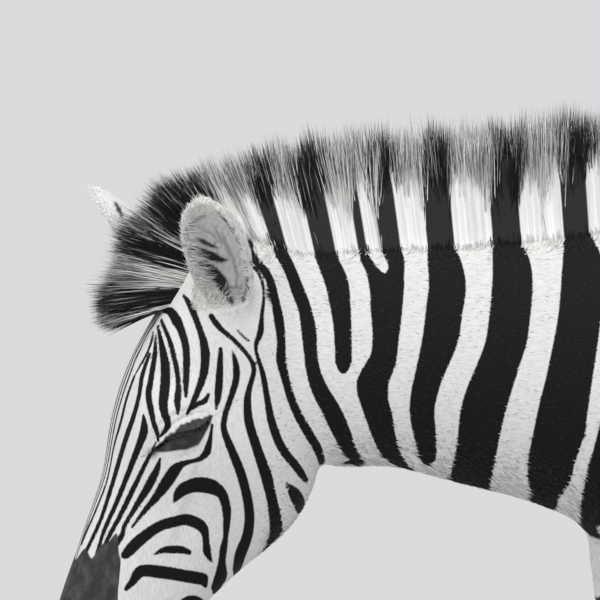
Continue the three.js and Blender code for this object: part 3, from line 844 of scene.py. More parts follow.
# the bare dark skin round the closed lids: its upper and lower edges, b by a
lidSkin = {"upper": [(-38, -1), (-29, 3.5), (-18, 7.5), (-8, 9), (-2, 10.5), (9, 10.5), (22, 7), (35, 3.5),
                     (38, 1)],
           "lower": [(-38, -1), (-27, -7), (-6, -16), (8, -18), (17, -13.5), (31, -4.6), (38, 1)]}
# folds round the lids: height, place and bow across the slit, width, middle and reach along it
lidFolds = [(-1.9, 4, 12.5, 2.0, -2, 26), (-0.8, 7, 17, 1.8, -4, 22), (-1.2, -3.5, -9.5, 1.8, -6, 22),
            (-0.7, -7, -15, 2.2, -8, 20), (1.4, 8, 21, 4.0, 0, 26)]


# Points in the eye's axes, a along the slit and b across it, and a weight that is 1 beside the eye.
def eyePlaces(points):
    head = toHead(points)
    s, t = head[:, 0] - lids["middle"][0], head[:, 1] - lids["middle"][1]
    a = s * lids["along"][0] + t * lids["along"][1]
    b = s * lids["up"][0] + t * lids["up"][1]
    return a, b, np.clip((np.abs(head[:, 2]) - 55) / 15, 0, 1) * (points[:, 0] < headX)


# Millimetres inside the bare skin round the lids, whose upper edge is ragged by sines.
def lidDepth(points):
    a, b, weight = eyePlaces(points)
    fringe = 0.5 * np.sin(a / 1.1) + 0.8 * np.sin(a / 2.7 + 1)
    inside = np.minimum(table(lidSkin["upper"], a) + fringe - b, b - table(lidSkin["lower"], a))
    return np.where(weight > 0.5, inside, outside)


# Painted shade (0 to 1) in the parting between the lids and in the tear duct.
def lidPaintedShade(points):
    a, b, weight = eyePlaces(points)
    parting = bump(b - table(lids["slit"], a), 2.1) * np.clip((36 - np.abs(a)) / 6, 0, 1)
    duct = 0.95 * bump(np.hypot(a + 38, b + 2), 5.0)
    return np.where(weight > 0.5, np.maximum(parting, duct), 0)


# A point's fraction along the ear, its share of the half depth and of the half width, and how deep it
# lies within the ear's outer leaf, in millimetres.
def earPlaces(points, ear):
    foot, axis, out, wide = earAxes(ear)
    p = points - foot
    f = (p @ axis) / (axis @ axis)
    u, v = p @ out, p @ wide
    halfWide, halfDeep = earHalves(f)
    u, v = u / halfDeep, v / halfWide
    return f, u, v, (1 - np.sqrt(u ** 2 + v ** 2)) * np.minimum(halfDeep, halfWide)


# The hollow of the near ear as it shows in the view: its front and rear edges across, by place down; and its
# darker lines and folds as strokes of (across, down, width), each with its tone. The dark of these folds and
# hollows is partly the ear's own dark skin and partly painted shade.
earOpening = {
    "front": [(206, 212), (214, 199), (222, 191), (235, 187.5), (250, 189.5), (262, 195), (272, 201),
              (285, 210), (297, 221), (306, 233)],
    "rear": [(206, 213), (216, 222), (227, 232), (243, 241.5), (258, 247.5), (275, 250.5), (288, 249.5),
             (300, 245), (306, 238)]}
earFoldSkinAndShade = [
    (0.95, [(194, 238, 2), (202, 241, 5), (212, 246, 4), (218, 248, 1)]),
    (0.97, [(190, 247, 3), (199, 251, 8), (211, 256, 9), (221, 260, 6), (228, 260, 1)]),
    (0.97, [(196, 261, 3), (206, 266, 9), (214, 273, 12), (222, 283, 12), (227, 294, 9), (232, 303, 3)]),
    (0.80, [(219, 212, 2), (230, 226, 3.4), (239, 241, 3.4), (245, 256, 3.4), (248, 272, 3.6),
            (247.5, 288, 3.6), (243, 301, 3)]),
    (0.55, [(188.5, 236, 2), (190, 227, 4), (196, 219, 4), (205, 216, 3)]),
    (0.50, [(214, 228, 2), (225, 243, 4), (233, 258, 4), (237, 275, 3), (237, 290, 2)]),
    (0.45, [(200, 228, 3), (210, 233, 3), (220, 242, 2)]),
]
farEarDash = (0.95, [(115.5, 203, 2.5), (118.5, 209, 4.4), (122, 216, 3)])


# Across and down in the view, of points.
def viewPlace(points):
    offset = points - viewEye
    scale = view["distance"] / (offset @ viewForward) * view["perMillimetre"]
    return (view["frame"] / 2 + (offset @ viewRight) * scale, view["frame"] / 2 - (offset @ viewUp) * scale)


# The tone of one stroke of the view at places of it, falling off softly over its edge.
def foldTone(across, down, fold):
    tone, rows = fold
    rows = np.array(rows, float)
    best = np.full(len(across), outside)
    for a, b in zip(rows[:-1], rows[1:]):
        axis = b[:2] - a[:2]
        f = np.clip(((across - a[0]) * axis[0] + (down - a[1]) * axis[1]) / (axis @ axis), 0, 1)
        away = np.hypot(across - a[0] - f * axis[0], down - a[1] - f * axis[1])
        best = np.maximum(best, (a[2] + (b[2] - a[2]) * f) / 2 - away)
    return tone * np.clip(best / 1.8 + 0.6, 0, 1)


# Black (0 to 1) of the ears: light grey in the hollow with dark folds, whose dark is partly the ear's own
# skin and partly painted shade, and a band across the back.
def earTonesAndShade(points):
    tone = np.zeros(len(points))
    nearFoot, nearAxis, nearOut, nearWide = earAxes(ears["left"])
    for name, ear in ears.items():
        f, u, v, deep = earPlaces(points, ear)
        v = v * (-1 if name == "right" else 1)
        on = (f > -0.05) & (f < 1.05) & (deep > -4) & (np.abs(v) < 1.3)
        inner = on & (deep > 2.0) & (f > 0.0)
        halfWide, halfDeep = earHalves(f)
        like = nearFoot + np.multiply.outer(f, nearAxis) + np.multiply.outer(u * halfDeep, nearOut)
        across, down = viewPlace(like + np.multiply.outer(v * halfWide, nearWide))
        front, rear = (table(earOpening[way], down) for way in ("front", "rear"))
        edge = np.minimum(across - front, rear - across)
        edge = np.where((down > 207) & (down < 306), edge, -1)
        dark = (0.18 + 0.07 * np.sin(0.9 * across + 0.5 * down)) * np.clip(edge / 3, 0, 1)
        # painted shade in the folds and hollows, over the ear's own darker skin
        for fold in earFoldSkinAndShade:
            dark = np.maximum(dark, foldTone(across, down, fold))
        back = on & ~inner & (u < -0.15)
        middle, half = ear["band"]
        band = np.clip((half - np.abs(f - middle)) * 40, 0, 1) * (u < -0.4) * ((v > 0.2) | (name == "left"))
        if name == "right":
            band = np.maximum(band, foldTone(*viewPlace(points), farEarDash))
        tone = np.where(inner, dark, np.where(back | (on & (name == "right")), np.maximum(band, tone), tone))
    return tone


# dents of the face: height, place and reach by t, place and reach by s, and the y they start at
faceDents = [(-3.2, 36, 15, 118, 22, 30), (-1.8, 30, 16, 245, 50, 25), (-1.2, 52, 5, 330, 60, 14)]


# Millimetres to push each point out. Each term is a height times falls away from a line or a place: the
# slit, margins and folds of the lids, then the dents, the facial crest, the nostril and the lips.
def headRelief(points):
    push = np.zeros(len(points))
    i = np.nonzero(points[:, 0] < headX)[0]
    p = points[i]
    s, t, y = toHead(p).T
    y = np.abs(y)
    a, b, weight = eyePlaces(p)
    reach = np.clip(1 - (np.abs(a) / 37) ** 4, 0, 1)
    off = b - table(lids["slit"], a)
    arch = np.sqrt(np.clip(1 - (a / 36) ** 2, 0, 1))
    eyes = -lids["deep"] * bump(off, lids["open"] * (0.45 + 0.55 * reach)) * reach ** 0.5
    eyes += lids["margin"] * (bump(off - 3.2, 1.5) + 0.8 * bump(off + 3.0, 1.4)) * reach
    for height, base, bow, width, middle, long in lidFolds:
        eyes += height * bump(b - base - bow * arch, width) * bump(a - middle, long)
    eyes -= 1.6 * bump(np.hypot(a + 37, b + 1.5), 4.5)
    face = eyes * weight
    for height, middleT, highT, middleS, longS, fromY in faceDents:
        face += height * bump(t - middleT, highT) * bump(s - middleS, longS) * (y > fromY)
    crest = t - np.interp(s, [190, 225, 280], [-12, -16, -20])
    ends = np.clip((s - 178) / 20, 0, 1) * np.clip((292 - s) / 25, 0, 1)
    face += (2.4 * bump(crest, 6.5) * ends - 1.6 * bump(crest + 15, 10) * bump(s - 240, 45)) * (y > 30)
    comma = commaOf(s, t)
    face -= 9.0 * np.exp(-comma ** 2.2) * np.clip((y - 18) / 10, 0, 1)
    wing = 1.8 * bump(comma - 1.7, 0.45) - 1.8 * bump(comma - 2.9, 0.7) * (s < nostril["s"])
    face += wing * np.clip((y - 16) / 10, 0, 1)
    line = t - table(mouthLine, s)
    lips = -3.6 * bump(line, 1.5) + 1.3 * bump(line - 5, 3.2) + 1.2 * bump(line + 5.5, 3.4)
    face += np.clip((s - 384) / 10, 0, 1) * lips
    chin = 0.5 * np.sin(t / 3.1 + 0.06 * s) * bump(s - 392, 9) * bump(t + 36, 14)
    face += (chin - 1.2 * bump(line - 14, 4) * bump(s - 420, 26)) * (y > 20)
    push[i] = face
    return push


# Whether each point lies on the head in front of the throat, where s down the face is past its start.
def onHead(points, frontOf=-398, past=-78):
    return (points[:, 0] < frontOf) & (toHead(points)[:, 0] > past)


# The places that need a finer net, each by plain bounds: first the head in front of the ears.
def byHead(points):
    return onHead(points, -395, -75)


# the legs, below this height
def byLegs(points):
    return points[:, 2] < 640


# within these distances of the eye's middle, along the slit and across it
def nearEye(points, along, across, shift=0):
    a, b, weight = eyePlaces(points)
    return (weight > 0) & (np.abs(a) < along) & (np.abs(b - shift) < across)


# the eye with its brow
def byEyes(points):
    return nearEye(points, 46, 34, 3)


# the lids only
def byLids(points):
    return nearEye(points, 41, 17)


# a box round the nostril, and a strip along the lips
def byMouth(points):
    s, t, y = toHead(points).T
    holes = (np.abs(s - nostril["s"]) < 26) & (np.abs(t - nostril["t"]) < 24) & (np.abs(y) > 14)
    lips = (s > 384) & (np.abs(t - table(mouthLine, s)) < 9)
    return (points[:, 0] < headX) & (holes | lips)


# within 5 mm of an ear
def byEars(points):
    i = np.nonzero((points[:, 0] < headX) & (points[:, 2] > 1150))[0]
    found = np.zeros(len(points), bool)
    found[i] = np.minimum(*(earField(points[i], ear) for ear in ears.values())) < 5
    return found & ~byHead(points)


# 1 where the hair lies down the body, on the legs and the face, and 0 where it lies along it.
def downward(points):
    onFace = np.clip((-400 - points[:, 0]) / 40, 0, 1)
    return np.clip(np.maximum((760 - points[:, 2]) / 160, onFace), 0, 1)


for near in (byHead, byLegs, byEars, byEyes, byLids, byMouth):
    netPoints, netQuads, netOthers = refineWhere(netPoints, netQuads, netOthers, near)
    print(near.__name__, len(netQuads))
netNormals = unit(slope(netPoints)[1])
skinTree = BVHTree.FromPolygons(netPoints.tolist(), netQuads.tolist() + netOthers)
laidStrokes = layStrokes(skinTree)
marks = dict(zip(("linePhase", "lineGap", "lineGround"), noseLineParts(netPoints)))
marks["stripe"] = stripeValue(netPoints)
marks["bare"] = np.maximum(muzzleDepth(netPoints), lidDepth(netPoints))
# the ears' tones with painted shade in their folds and hollows, and painted shade in the lid parting, tear
# duct, nostrils and lip parting
marks["patch"] = np.maximum(earTonesAndShade(netPoints), lidPaintedShade(netPoints))
marks["patch"] = np.maximum(marks["patch"], 0.85 * mouthPaintedShade(netPoints))
netPoints = netPoints + netNormals * headRelief(netPoints)[:, None]
triangleCount = 2 * len(netQuads) + sum(len(ring) - 2 for ring in netOthers)
print("skin:", len(netPoints), "points,", triangleCount, "triangles,", len(laidStrokes), "strokes")


# Gives a piece one number for each of its points.
def setAttribute(piece, name, values):
    piece.data.attributes.new(name, "FLOAT", "POINT").data.foreach_set("value", values.astype(np.float32))


# The axes that the unwraps turn about: the trunk's height by x, and the head's, tail's and legs' places.
axes = {"body": [(-420, 1160), (-100, 1110), (150, 1000), (1300, 1000)], "headT": -20, "tailX": 1352,
        "legY": 115}
# rectangles of the skin's own unwrap: left, bottom, width, height
atlas = {"head": (0.01, 0.55, 0.60, 0.44), "body": (0.01, 0.01, 0.60, 0.52),
         "leg": (0.63, 0.01, 0.36, 0.185), "ear": (0.63, 0.80, 0.17, 0.09), "tail": (0.63, 0.76, 0.36, 0.03)}


# Angle round a part's axis and fraction along the part, by arctan2 of the two offsets from the axis.
def aroundAlong(part, points):
    x, y, z = points.T
    if part == "head":
        s, t, _ = toHead(points).T
        return np.arctan2(y, t - axes["headT"]), (s + 80) / 560
    if part == "body":
        return np.arctan2(y, z - table(axes["body"], x)), (x + 470) / 1850
    if part == "tail":
        return np.arctan2(y, x - axes["tailX"]), (z - 840) / 360
    middle = table(legs[part]["rows"][::-1], z)
    return np.arctan2(y - axes["legY"] * legs[part]["side"], x - middle), z / 705


# The OFBake map: head, body, legs, ears and tail each unrolled by length and by the angle round them.
def skinAtlas(mesh):
    corners = np.empty(len(mesh.loops), np.int32)
    sizes = np.empty(len(mesh.polygons), np.int32)
    mesh.loops.foreach_get("vertex_index", corners)
    mesh.polygons.foreach_get("loop_total", sizes)
    face = np.repeat(np.arange(len(sizes)), sizes)
    points = netPoints[corners]
    middles = np.stack([np.bincount(face, points[:, i]) / sizes for i in range(3)], axis=1)[face]
    uv = np.zeros((len(points), 2))

    # lays a part out in its box; a corner's angle stays within half a turn of its face's middle
    def unroll(chosen, part, box):
        around, along = aroundAlong(part, points[chosen])
        reference, _ = aroundAlong(part, middles[chosen])
        turned = reference + (around - reference + math.pi) % (2 * math.pi) - math.pi
        left, bottom, width, height = box
        uv[chosen] = np.stack([left + width * (0.03 + 0.94 * (turned / (2 * math.pi) + 0.5)),
                               bottom + height * (0.02 + 0.96 * np.clip(along, 0, 1))], axis=1)

    x, y, z = middles.T
    head = onHead(middles)
    tail = (x > 1322) & (z < 1190)
    leg = (z < 700) & ~head & ~tail
    unroll(head, "head", atlas["head"])
    unroll(~head & ~tail & ~leg, "body", atlas["body"])
    unroll(tail, "tail", atlas["tail"])
    left, bottom, width, height = atlas["leg"]
    for i, name in enumerate(legs):
        mine = leg & ((x > 600) == name.startswith("hind")) & (y * legs[name]["side"] > 0)
        unroll(mine, name, (left, bottom + i * (height + 0.002), width, height))
    left, bottom, width, height = atlas["ear"]
    for i, ear in enumerate(ears.values()):
        f, _, v, deep = earPlaces(middles, ear)
        near = (f > 0.12) & (f < 1.1) & (deep > -6) & (np.abs(v) < 1.4)
        for j, part in enumerate((near & (deep > 2), near & (deep <= 2))):
            f, _, v, _ = earPlaces(points[part], ear)
            across = left + (width + 0.01) * j + width * np.clip(f / 1.05, 0, 1)
            up = bottom + (height + 0.01) * i + height * np.clip(v / 2.8 + 0.5, 0, 1)
            uv[part] = np.stack([across, up], axis=1)
    mesh.uv_layers.new(name="OFBake").data.foreach_set("uv", np.clip(uv, 0, 1).astype(np.float32).ravel())


skin = meshObject("skin", toFrame(netPoints), netQuads.tolist() + netOthers)
skinAtlas(skin.data)
marks["down"] = downward(netPoints)
for name, values in marks.items():
    setAttribute(skin, name, values)
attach(skin, "root")
fleshNodes = ["head", "muzzle", "ear_left", "ear_right", "neck_upper", "neck_lower", "trunk_front",
              "trunk_middle", "trunk_rear", "tail_dock"]
fleshNodes += [f"{leg}_{part}" for leg in ("foreleg_left", "foreleg_right", "hindleg_left", "hindleg_right")
               for part in ("upper", "lower")]
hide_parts(*fleshNodes)


# A new material, its node tree and its shader.
def newMaterial(name):
    material = bpy.data.materials.new(name)
    material.use_nodes = True
    tree = material.node_tree
    return material, tree, tree.nodes["Principled BSDF"]


# Fills a node's inputs by socket name or number: sets a number or colour, and links an output.
def feed(tree, node, values):
    for key, value in values.items():
        if hasattr(value, "is_output"):
            tree.links.new(value, node.inputs[key])
        else:
            node.inputs[key].default_value = value


# A node of this kind, with settings by attribute and inputs as above.
def addNode(tree, kind, values=None, **settings):
    node = tree.nodes.new(kind)
    for key, value in settings.items():
        setattr(node, key, value)
    feed(tree, node, values or {})
    return node


# The number that a mesh attribute holds.
def attribute(tree, name):
    return addNode(tree, "ShaderNodeAttribute", attribute_name=name).outputs["Fac"]


# A sum, product or the like of values.
def maths(tree, operation, *values):
    return addNode(tree, "ShaderNodeMath", dict(enumerate(values)), operation=operation).outputs[0]


# A value moved from one range to another on a straight line, or eased at both ends where smooth.
def ranged(tree, value, low, high, toLow=0.0, toHigh=1.0, smooth=False):
    values = {"Value": value, "From Min": low, "From Max": high, "To Min": toLow, "To Max": toHigh}
    kind = "SMOOTHSTEP" if smooth else "LINEAR"
    return addNode(tree, "ShaderNodeMapRange", values, interpolation_type=kind).outputs["Result"]


# a times one less the factor, plus b times the factor.
def blend(tree, factor, a, b):
    return addNode(tree, "ShaderNodeMix", {"Factor": factor, 6: a, 7: b}, data_type="RGBA").outputs[2]


# A colour times a number.
def scaled(tree, colour, scale):
    return addNode(tree, "ShaderNodeVectorMath", {0: colour, "Scale": scale}, operation="SCALE").outputs[0]


# Noise on Object coordinates, each times its scale.
def drawnNoise(tree, scale, detail):
    place = addNode(tree, "ShaderNodeTexCoord").outputs["Object"]
    place = addNode(tree, "ShaderNodeMapping", {"Vector": place, "Scale": scale}).outputs["Vector"]
    values = {"Vector": place, "Scale": 1.0, "Detail": detail}
    return addNode(tree, "ShaderNodeTexNoise", values).outputs["Fac"]


coatLook = {"white": (0.80, 0.79, 0.77, 1), "black": (0.006, 0.0058, 0.0055, 1),
            "bare": (0.043, 0.041, 0.039, 1), "speck": (0.098, 0.094, 0.09, 1), "rough": 0.62, "gloss": 0.14,
            "edge": 0.9, "bareEdge": 1.6, "teeth": 2.4, "bump": 0.5, "bumpHeight": 0.0009}


# White and black by the stripe attribute and the face's lines, their edges toothed by noise drawn out along
# the hair, then the mottled bare skin, and over them the ears' tones and the painted shade of the ear folds,
# lid parting, nostrils and lips. The same noise darkens and raises the hair.
def coatMaterial():
    material, tree, shader = newMaterial("zebraCoat")
    hair = addNode(tree, "ShaderNodeMix", {
        "Factor": attribute(tree, "down"), "A": drawnNoise(tree, (120, 300, 620), 2.0),
        "B": drawnNoise(tree, (560, 560, 110), 2.0)}).outputs["Result"]
    line = maths(tree, "PINGPONG", attribute(tree, "linePhase"), 0.5)
    line = maths(tree, "MULTIPLY_ADD", line, -1.0, noseLines["black"] / 2)
    line = maths(tree, "MULTIPLY", line, attribute(tree, "lineGap"))
    line = maths(tree, "MINIMUM", line, attribute(tree, "lineGround"))
    stripes = maths(tree, "MAXIMUM", attribute(tree, "stripe"), line)
    stripes = maths(tree, "MULTIPLY_ADD", maths(tree, "SUBTRACT", hair, 0.5), coatLook["teeth"], stripes)
    black = ranged(tree, stripes, -coatLook["edge"], coatLook["edge"], smooth=True)
    mottle = ranged(tree, drawnNoise(tree, (90, 90, 65), 6.0), 0.44, 0.72)
    bare = ranged(tree, attribute(tree, "bare"), -coatLook["bareEdge"], coatLook["bareEdge"], smooth=True)
    colour = blend(tree, black, coatLook["white"], coatLook["black"])
    colour = blend(tree, bare, colour, blend(tree, mottle, coatLook["bare"], coatLook["speck"]))
    # the ears' tones and the painted shade of folds, partings and nostrils, blended toward black
    colour = blend(tree, attribute(tree, "patch"), colour, coatLook["black"])
    raised = {"Strength": coatLook["bump"], "Distance": coatLook["bumpHeight"], "Height": hair}
    feed(tree, shader, {"Base Color": scaled(tree, colour, ranged(tree, hair, 0.3, 0.7, 0.86, 1.06)),
                        "Normal": addNode(tree, "ShaderNodeBump", raised).outputs["Normal"],
                        "Roughness": coatLook["rough"], "Specular IOR Level": coatLook["gloss"]})
    return material


skin.data.materials.append(coatMaterial())


# One mesh of many blades of three sides: rings holds their corners (blade, ring, corner, xyz), tips their
# last points, heights each ring's fraction up the blade. A blade has a slip of the bake map at its place, a
# tone for each ring and the tip, and one shade.
def bladeMesh(name, rings, tips, heights, places, tone, shade, material):
    count, k = rings.shape[:2]
    each = 3 * k + 1
    vertices = np.concatenate([rings.reshape(count, 3 * k, 3), tips[:, None]], axis=1)
    base = (np.arange(count) * each)[:, None, None]
    quads = [[3 * j + c, 3 * j + 3 + c, 3 * j + 3 + (c + 1) % 3, 3 * j + (c + 1) % 3]
             for j in range(k - 1) for c in range(3)]
    ends = [[3 * k - 3 + c, 3 * k, 3 * k - 3 + (c + 1) % 3] for c in range(3)] + [[0, 1, 2]]
    quads, ends = (base + np.array(quads)[None]).reshape(-1, 4), (base + np.array(ends)[None]).reshape(-1, 3)
    corners = np.concatenate([quads.ravel(), ends.ravel()])
    starts = np.concatenate([np.arange(len(quads)) * 4, quads.size + np.arange(len(ends)) * 3])
    mesh = bpy.data.meshes.new(name)
    mesh.vertices.add(count * each)
    mesh.vertices.foreach_set("co", toFrame(vertices.reshape(-1, 3)).astype(np.float32).ravel())
    mesh.loops.add(len(corners))
    mesh.loops.foreach_set("vertex_index", corners.astype(np.int32))
    mesh.polygons.add(len(starts))
    mesh.polygons.foreach_set("loop_start", starts.astype(np.int32))
    mesh.update(calc_edges=True)
    mesh.polygons.foreach_set("use_smooth", np.ones(len(mesh.polygons), bool))
    mesh.materials.append(material)
    slip = [(u, r + v) for r in heights for u, v in ((-0.5, 0), (0.5, 0), (0.0, 0.12))] + [(0.0, 1.0)]
    uv = places[:, None] + 0.003 * (np.array(slip) - [0, 0.5])[None]
    layer = mesh.uv_layers.new(name="OFBake")
    layer.data.foreach_set("uv", uv.reshape(-1, 2)[corners].astype(np.float32).ravel())
    piece = addObject(name, mesh)
    tone = np.concatenate([np.repeat(tone[:, :k], 3, axis=1), tone[:, k:]], axis=1)
    setAttribute(piece, "tone", tone.ravel())
    setAttribute(piece, "shade", np.repeat(shade, each))
    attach(piece, "root")
    print(name, count, "hairs,", 2 * len(quads) + len(ends), "triangles")
    return piece


# Many tufts as blades. A tuft's middle line is root + along * length * f + bend * f^2 for f in rings, with
# three corners round it at each ring and one point at the tip. tufts has an array with a row for each tuft
# of each of these, of its size across, and of its tone, shade and place.
def growTufts(name, tufts, rings, girths, material):
    along = unit(tufts["along"])
    side = unit(np.cross(along, tufts["up"]))
    lift = np.cross(side, along)
    f = np.array(rings)[None, :, None]
    girth = np.array(girths)[None, :, None] / 2
    reach = along * tufts["length"][:, None]
    spine = tufts["root"][:, None] + reach[:, None] * f + tufts["bend"][:, None] * f ** 2
    across = side[:, None] * tufts["wide"][:, None, None] * girth
    high = lift[:, None] * tufts["thick"][:, None, None] * girth
    ring = np.stack([spine - across - 0.5 * high, spine + across - 0.5 * high, spine + high], axis=2)
    tip = tufts["root"] + reach + tufts["bend"]
    return bladeMesh(name, ring, tip, rings, tufts["place"], tufts["tone"], tufts["shade"], material)


# Evenly scattered pairs in 0..1, by adding two irrational steps over and over.
def spreadPoints(count, seed):
    n = np.arange(count)[:, None] + seed * 0.37
    return (n * np.array([0.7548776662, 0.5698402910]) + 0.5) % 1


# Each hair blends from white to black by its tone, and is a little lighter or darker by its shade.
def hairMaterial(name, look):
    material, tree, shader = newMaterial(name)
    colour = blend(tree, attribute(tree, "tone"), look["white"], look["black"])
    feed(tree, shader, {"Base Color": scaled(tree, colour, attribute(tree, "shade")),
                        "Roughness": look["rough"], "Specular IOR Level": 0.35})
    return material


# The mane's and ears' white is brighter than the coat's: painted light, standing in for light shining
# through the hair and making up for the shade between hairs.
hairLooks = {"mane": {"white": (0.97, 0.96, 0.94, 1), "black": (0.010, 0.0095, 0.009, 1), "rough": 0.5},
             "coat": {"white": (0.80, 0.79, 0.77, 1), "black": (0.011, 0.0105, 0.01, 1), "rough": 0.6},
             "ear": {"white": (0.97, 0.96, 0.94, 1), "black": (0.011, 0.0105, 0.01, 1), "rough": 0.6}}
longHair = hairMaterial("maneHair", hairLooks["mane"])

# Where the mane grows: along the midline from the forehead (start) to the withers.
mane = {
    "centre": (-400, 1150), "startAngle": 163.5, "endX": 224, "wide": 0.95, "ring": (0.66, 1.0),
    "lockSize": 5.0, "darkFrom": 0.72, "lightShare": 0.3, "paleShare": 0.10,
    "paleTones": (1.0, 0.9, 0.5, 0.45), "bedStep": 1.6, "bedRows": 9, "strands": (0.70, 0.96),
    "bedHalf": [(0, 0.6), (90, 0.6), (150, 0.885), (700, 0.885), (780, 0.65)],
    "halfRoot": [(0, 27), (60, 26), (100, 24), (200, 38), (700, 38), (780, 14)],
    # along the midline: lean (90 is straight up, 180 forward), length of hair
    "lean": [(0, 193), (20, 184), (40, 172), (60, 158), (80, 143), (100, 129), (130, 113), (170, 104),
             (250, 98), (350, 93), (520, 90), (640, 90), (690, 84), (735, 72), (775, 60)],
    "length": [(0, 78), (20, 88), (40, 92), (60, 94), (80, 96), (100, 100), (130, 104), (170, 112),
               (250, 124), (350, 133), (520, 139), (640, 132), (690, 112), (735, 78), (775, 38)],
    # along the midline of the forelock: how black its hairs are
    "bands": [(0, 1), (3.5, 1), (4.5, 0.1), (7, 0.1), (8.5, 1), (27, 1), (31, 0.1), (46, 0.1), (50, 0.95),
              (66, 0.9), (70, 0.45), (76, 0.45), (80, 0.95), (118, 0.9), (124, 0.1), (134, 0.0)],
}
# from and to along the midline, and the count of hairs
maneParts = {"forelock": (0, 96, 7600), "maneFront": (92, 276, 9200), "maneMiddle": (276, 496, 9600),
             "maneRear": (496, 772, 9600)}


# The midline's points, its way out of the skin, and its length so far, about 3 mm apart.
def manePath():
    cx, cz = mane["centre"]
    places = []
    for angle in np.radians(np.linspace(mane["startAngle"], 90, 40)):
        places.append(dropTo(skinTree, (cx, 0, cz), (math.cos(angle), 0, math.sin(angle))))
    for x in np.arange(cx + 3.0, mane["endX"], 3.0):
        places.append(dropTo(skinTree, (x, 0, 1200), crestWay))
    places = np.array(places)
    run = np.concatenate([[0], np.cumsum(np.linalg.norm(np.diff(places, axis=0), axis=1))])
    return places, run


# Roots by length along the midline and place across it: each drops onto the skin beside the midline.
def maneRoots(run, b):
    stations = np.linspace(0, maneRun[-1], 260)
    offsets = np.linspace(-1, 1, 9)
    mid = np.stack([np.interp(stations, maneRun, maneLine[:, i]) for i in range(3)], axis=1)
    ahead = np.gradient(mid, axis=0)
    out = unit(np.stack([-ahead[:, 2], 0 * stations, ahead[:, 0]], axis=1))
    half = table(mane["halfRoot"], stations)
    found = np.zeros((len(stations), len(offsets), 3))
    for i, (m, o, h) in enumerate(zip(mid, out, half)):
        for j, c in enumerate(offsets):
            hit = skinTree.ray_cast(Vector(m + [0, c * h, 0]) + Vector(o) * 60, -Vector(o))[0]
            found[i, j] = hit if hit is not None else m + np.array([0, c * h, 0])
    u = np.clip(run / maneRun[-1] * (len(stations) - 1), 0, len(stations) - 1.001)
    v = (b + 1) / 2 * (len(offsets) - 1.001)
    i, j = u.astype(int), v.astype(int)
    fu, fv = (u - i)[:, None], (v - j)[:, None]
    return ((found[i, j] * (1 - fu) + found[i + 1, j] * fu) * (1 - fv)
            + (found[i, j + 1] * (1 - fu) + found[i + 1, j + 1] * fu) * fv)


# Upright hairs that lean with the table, gather toward their lock's tip, and darken where black.
def growMane(name, start, end, count):
    spots = spreadPoints(count, 3)
    run = start + (end - start) * spots[:, 0]
    onNeck = run > 110
    b = (2 * spots[:, 1] - 1) * np.where(onNeck, draws.uniform(*mane["ring"], count), 1)
    root = maneRoots(run, b)
    lock = run / mane["lockSize"] + draws.normal(0, 0.35, count) + 40 * (b > 0.15) + 80 * (b < -0.35)
    lockDraws = np.random.default_rng(5).normal(0, 1, (400, 4))
    own = lockDraws[np.floor(lock).astype(int) % 400]
    lean = np.radians(table(mane["lean"], run) + 3.0 * own[:, 0] + draws.normal(0, 2.6, count))
    inward = -b * 0.16 - 0.5 * b * np.abs(b) ** 3 * onNeck + 0.05 * own[:, 1]
    inward = inward + draws.normal(0, 0.035, count)
    along = unit(np.stack([np.cos(lean), inward, np.sin(lean)], axis=1))
    short = np.where(draws.random(count) < 0.3, draws.uniform(0.45, 0.95, count), 1.0)
    length = table(mane["length"], run) * (0.94 + 0.06 * own[:, 2]) * draws.uniform(0.86, 1.03, count)
    length = length * short * (1 - 0.10 * b ** 2 - 0.6 * np.abs(b) ** 5 * onNeck)
    bend = np.stack([draws.normal(0, 2.4, count) + 2.0 * own[:, 3], draws.normal(0, 1.6, count),
                     -0.03 * length * (run < 90)], axis=1)
    black = strokeSide(root, run)
    turn = np.clip(draws.normal(mane["darkFrom"], 0.16, count) + 0.10 * own[:, 1], 0.5, 1.3)
    turn = np.where(draws.random(count) < mane["lightShare"], 1.3, turn)
    whites = np.clip((np.array([0.0, 0.5, 0.76, 1.0]) - turn[:, None]) / 0.12 + 0.5, 0, 1)
    whites = whites * draws.uniform(0.55, 1.0, count)[:, None]
    pale = (draws.random(count) < mane["paleShare"])[:, None]
    tone = np.where(black[:, None], np.where(pale, np.array(mane["paleTones"]), 1.0), whites)
    wide, thick = (mane["wide"] * draws.uniform(*span, count) for span in ((0.7, 1.25), (0.5, 0.9)))
    tufts = {"root": root - along * 3, "along": along, "bend": bend, "length": length + 3, "wide": wide,
             "up": np.stack([0 * b, np.sign(b) + 0.01, 0 * b], axis=1), "thick": thick, "tone": tone,
             "shade": draws.uniform(0.88, 1.1, count), "place": 0.01 + 0.98 * spots}
    return growTufts(name, tufts, (0.0, 0.5, 0.76), (0.9, 1.0, 0.6), longHair)


# Whether a mane hair grows from black: by the forelock's bands, then by the stripe at its root.
def strokeSide(root, run):
    onNeck = stripeValue(root) + draws.normal(0, 1.2, len(root)) > 0
    share = table(mane["bands"], run + draws.normal(0, 0.8, len(run)))
    return np.where(run < 140, draws.random(len(run)) < share, onNeck)


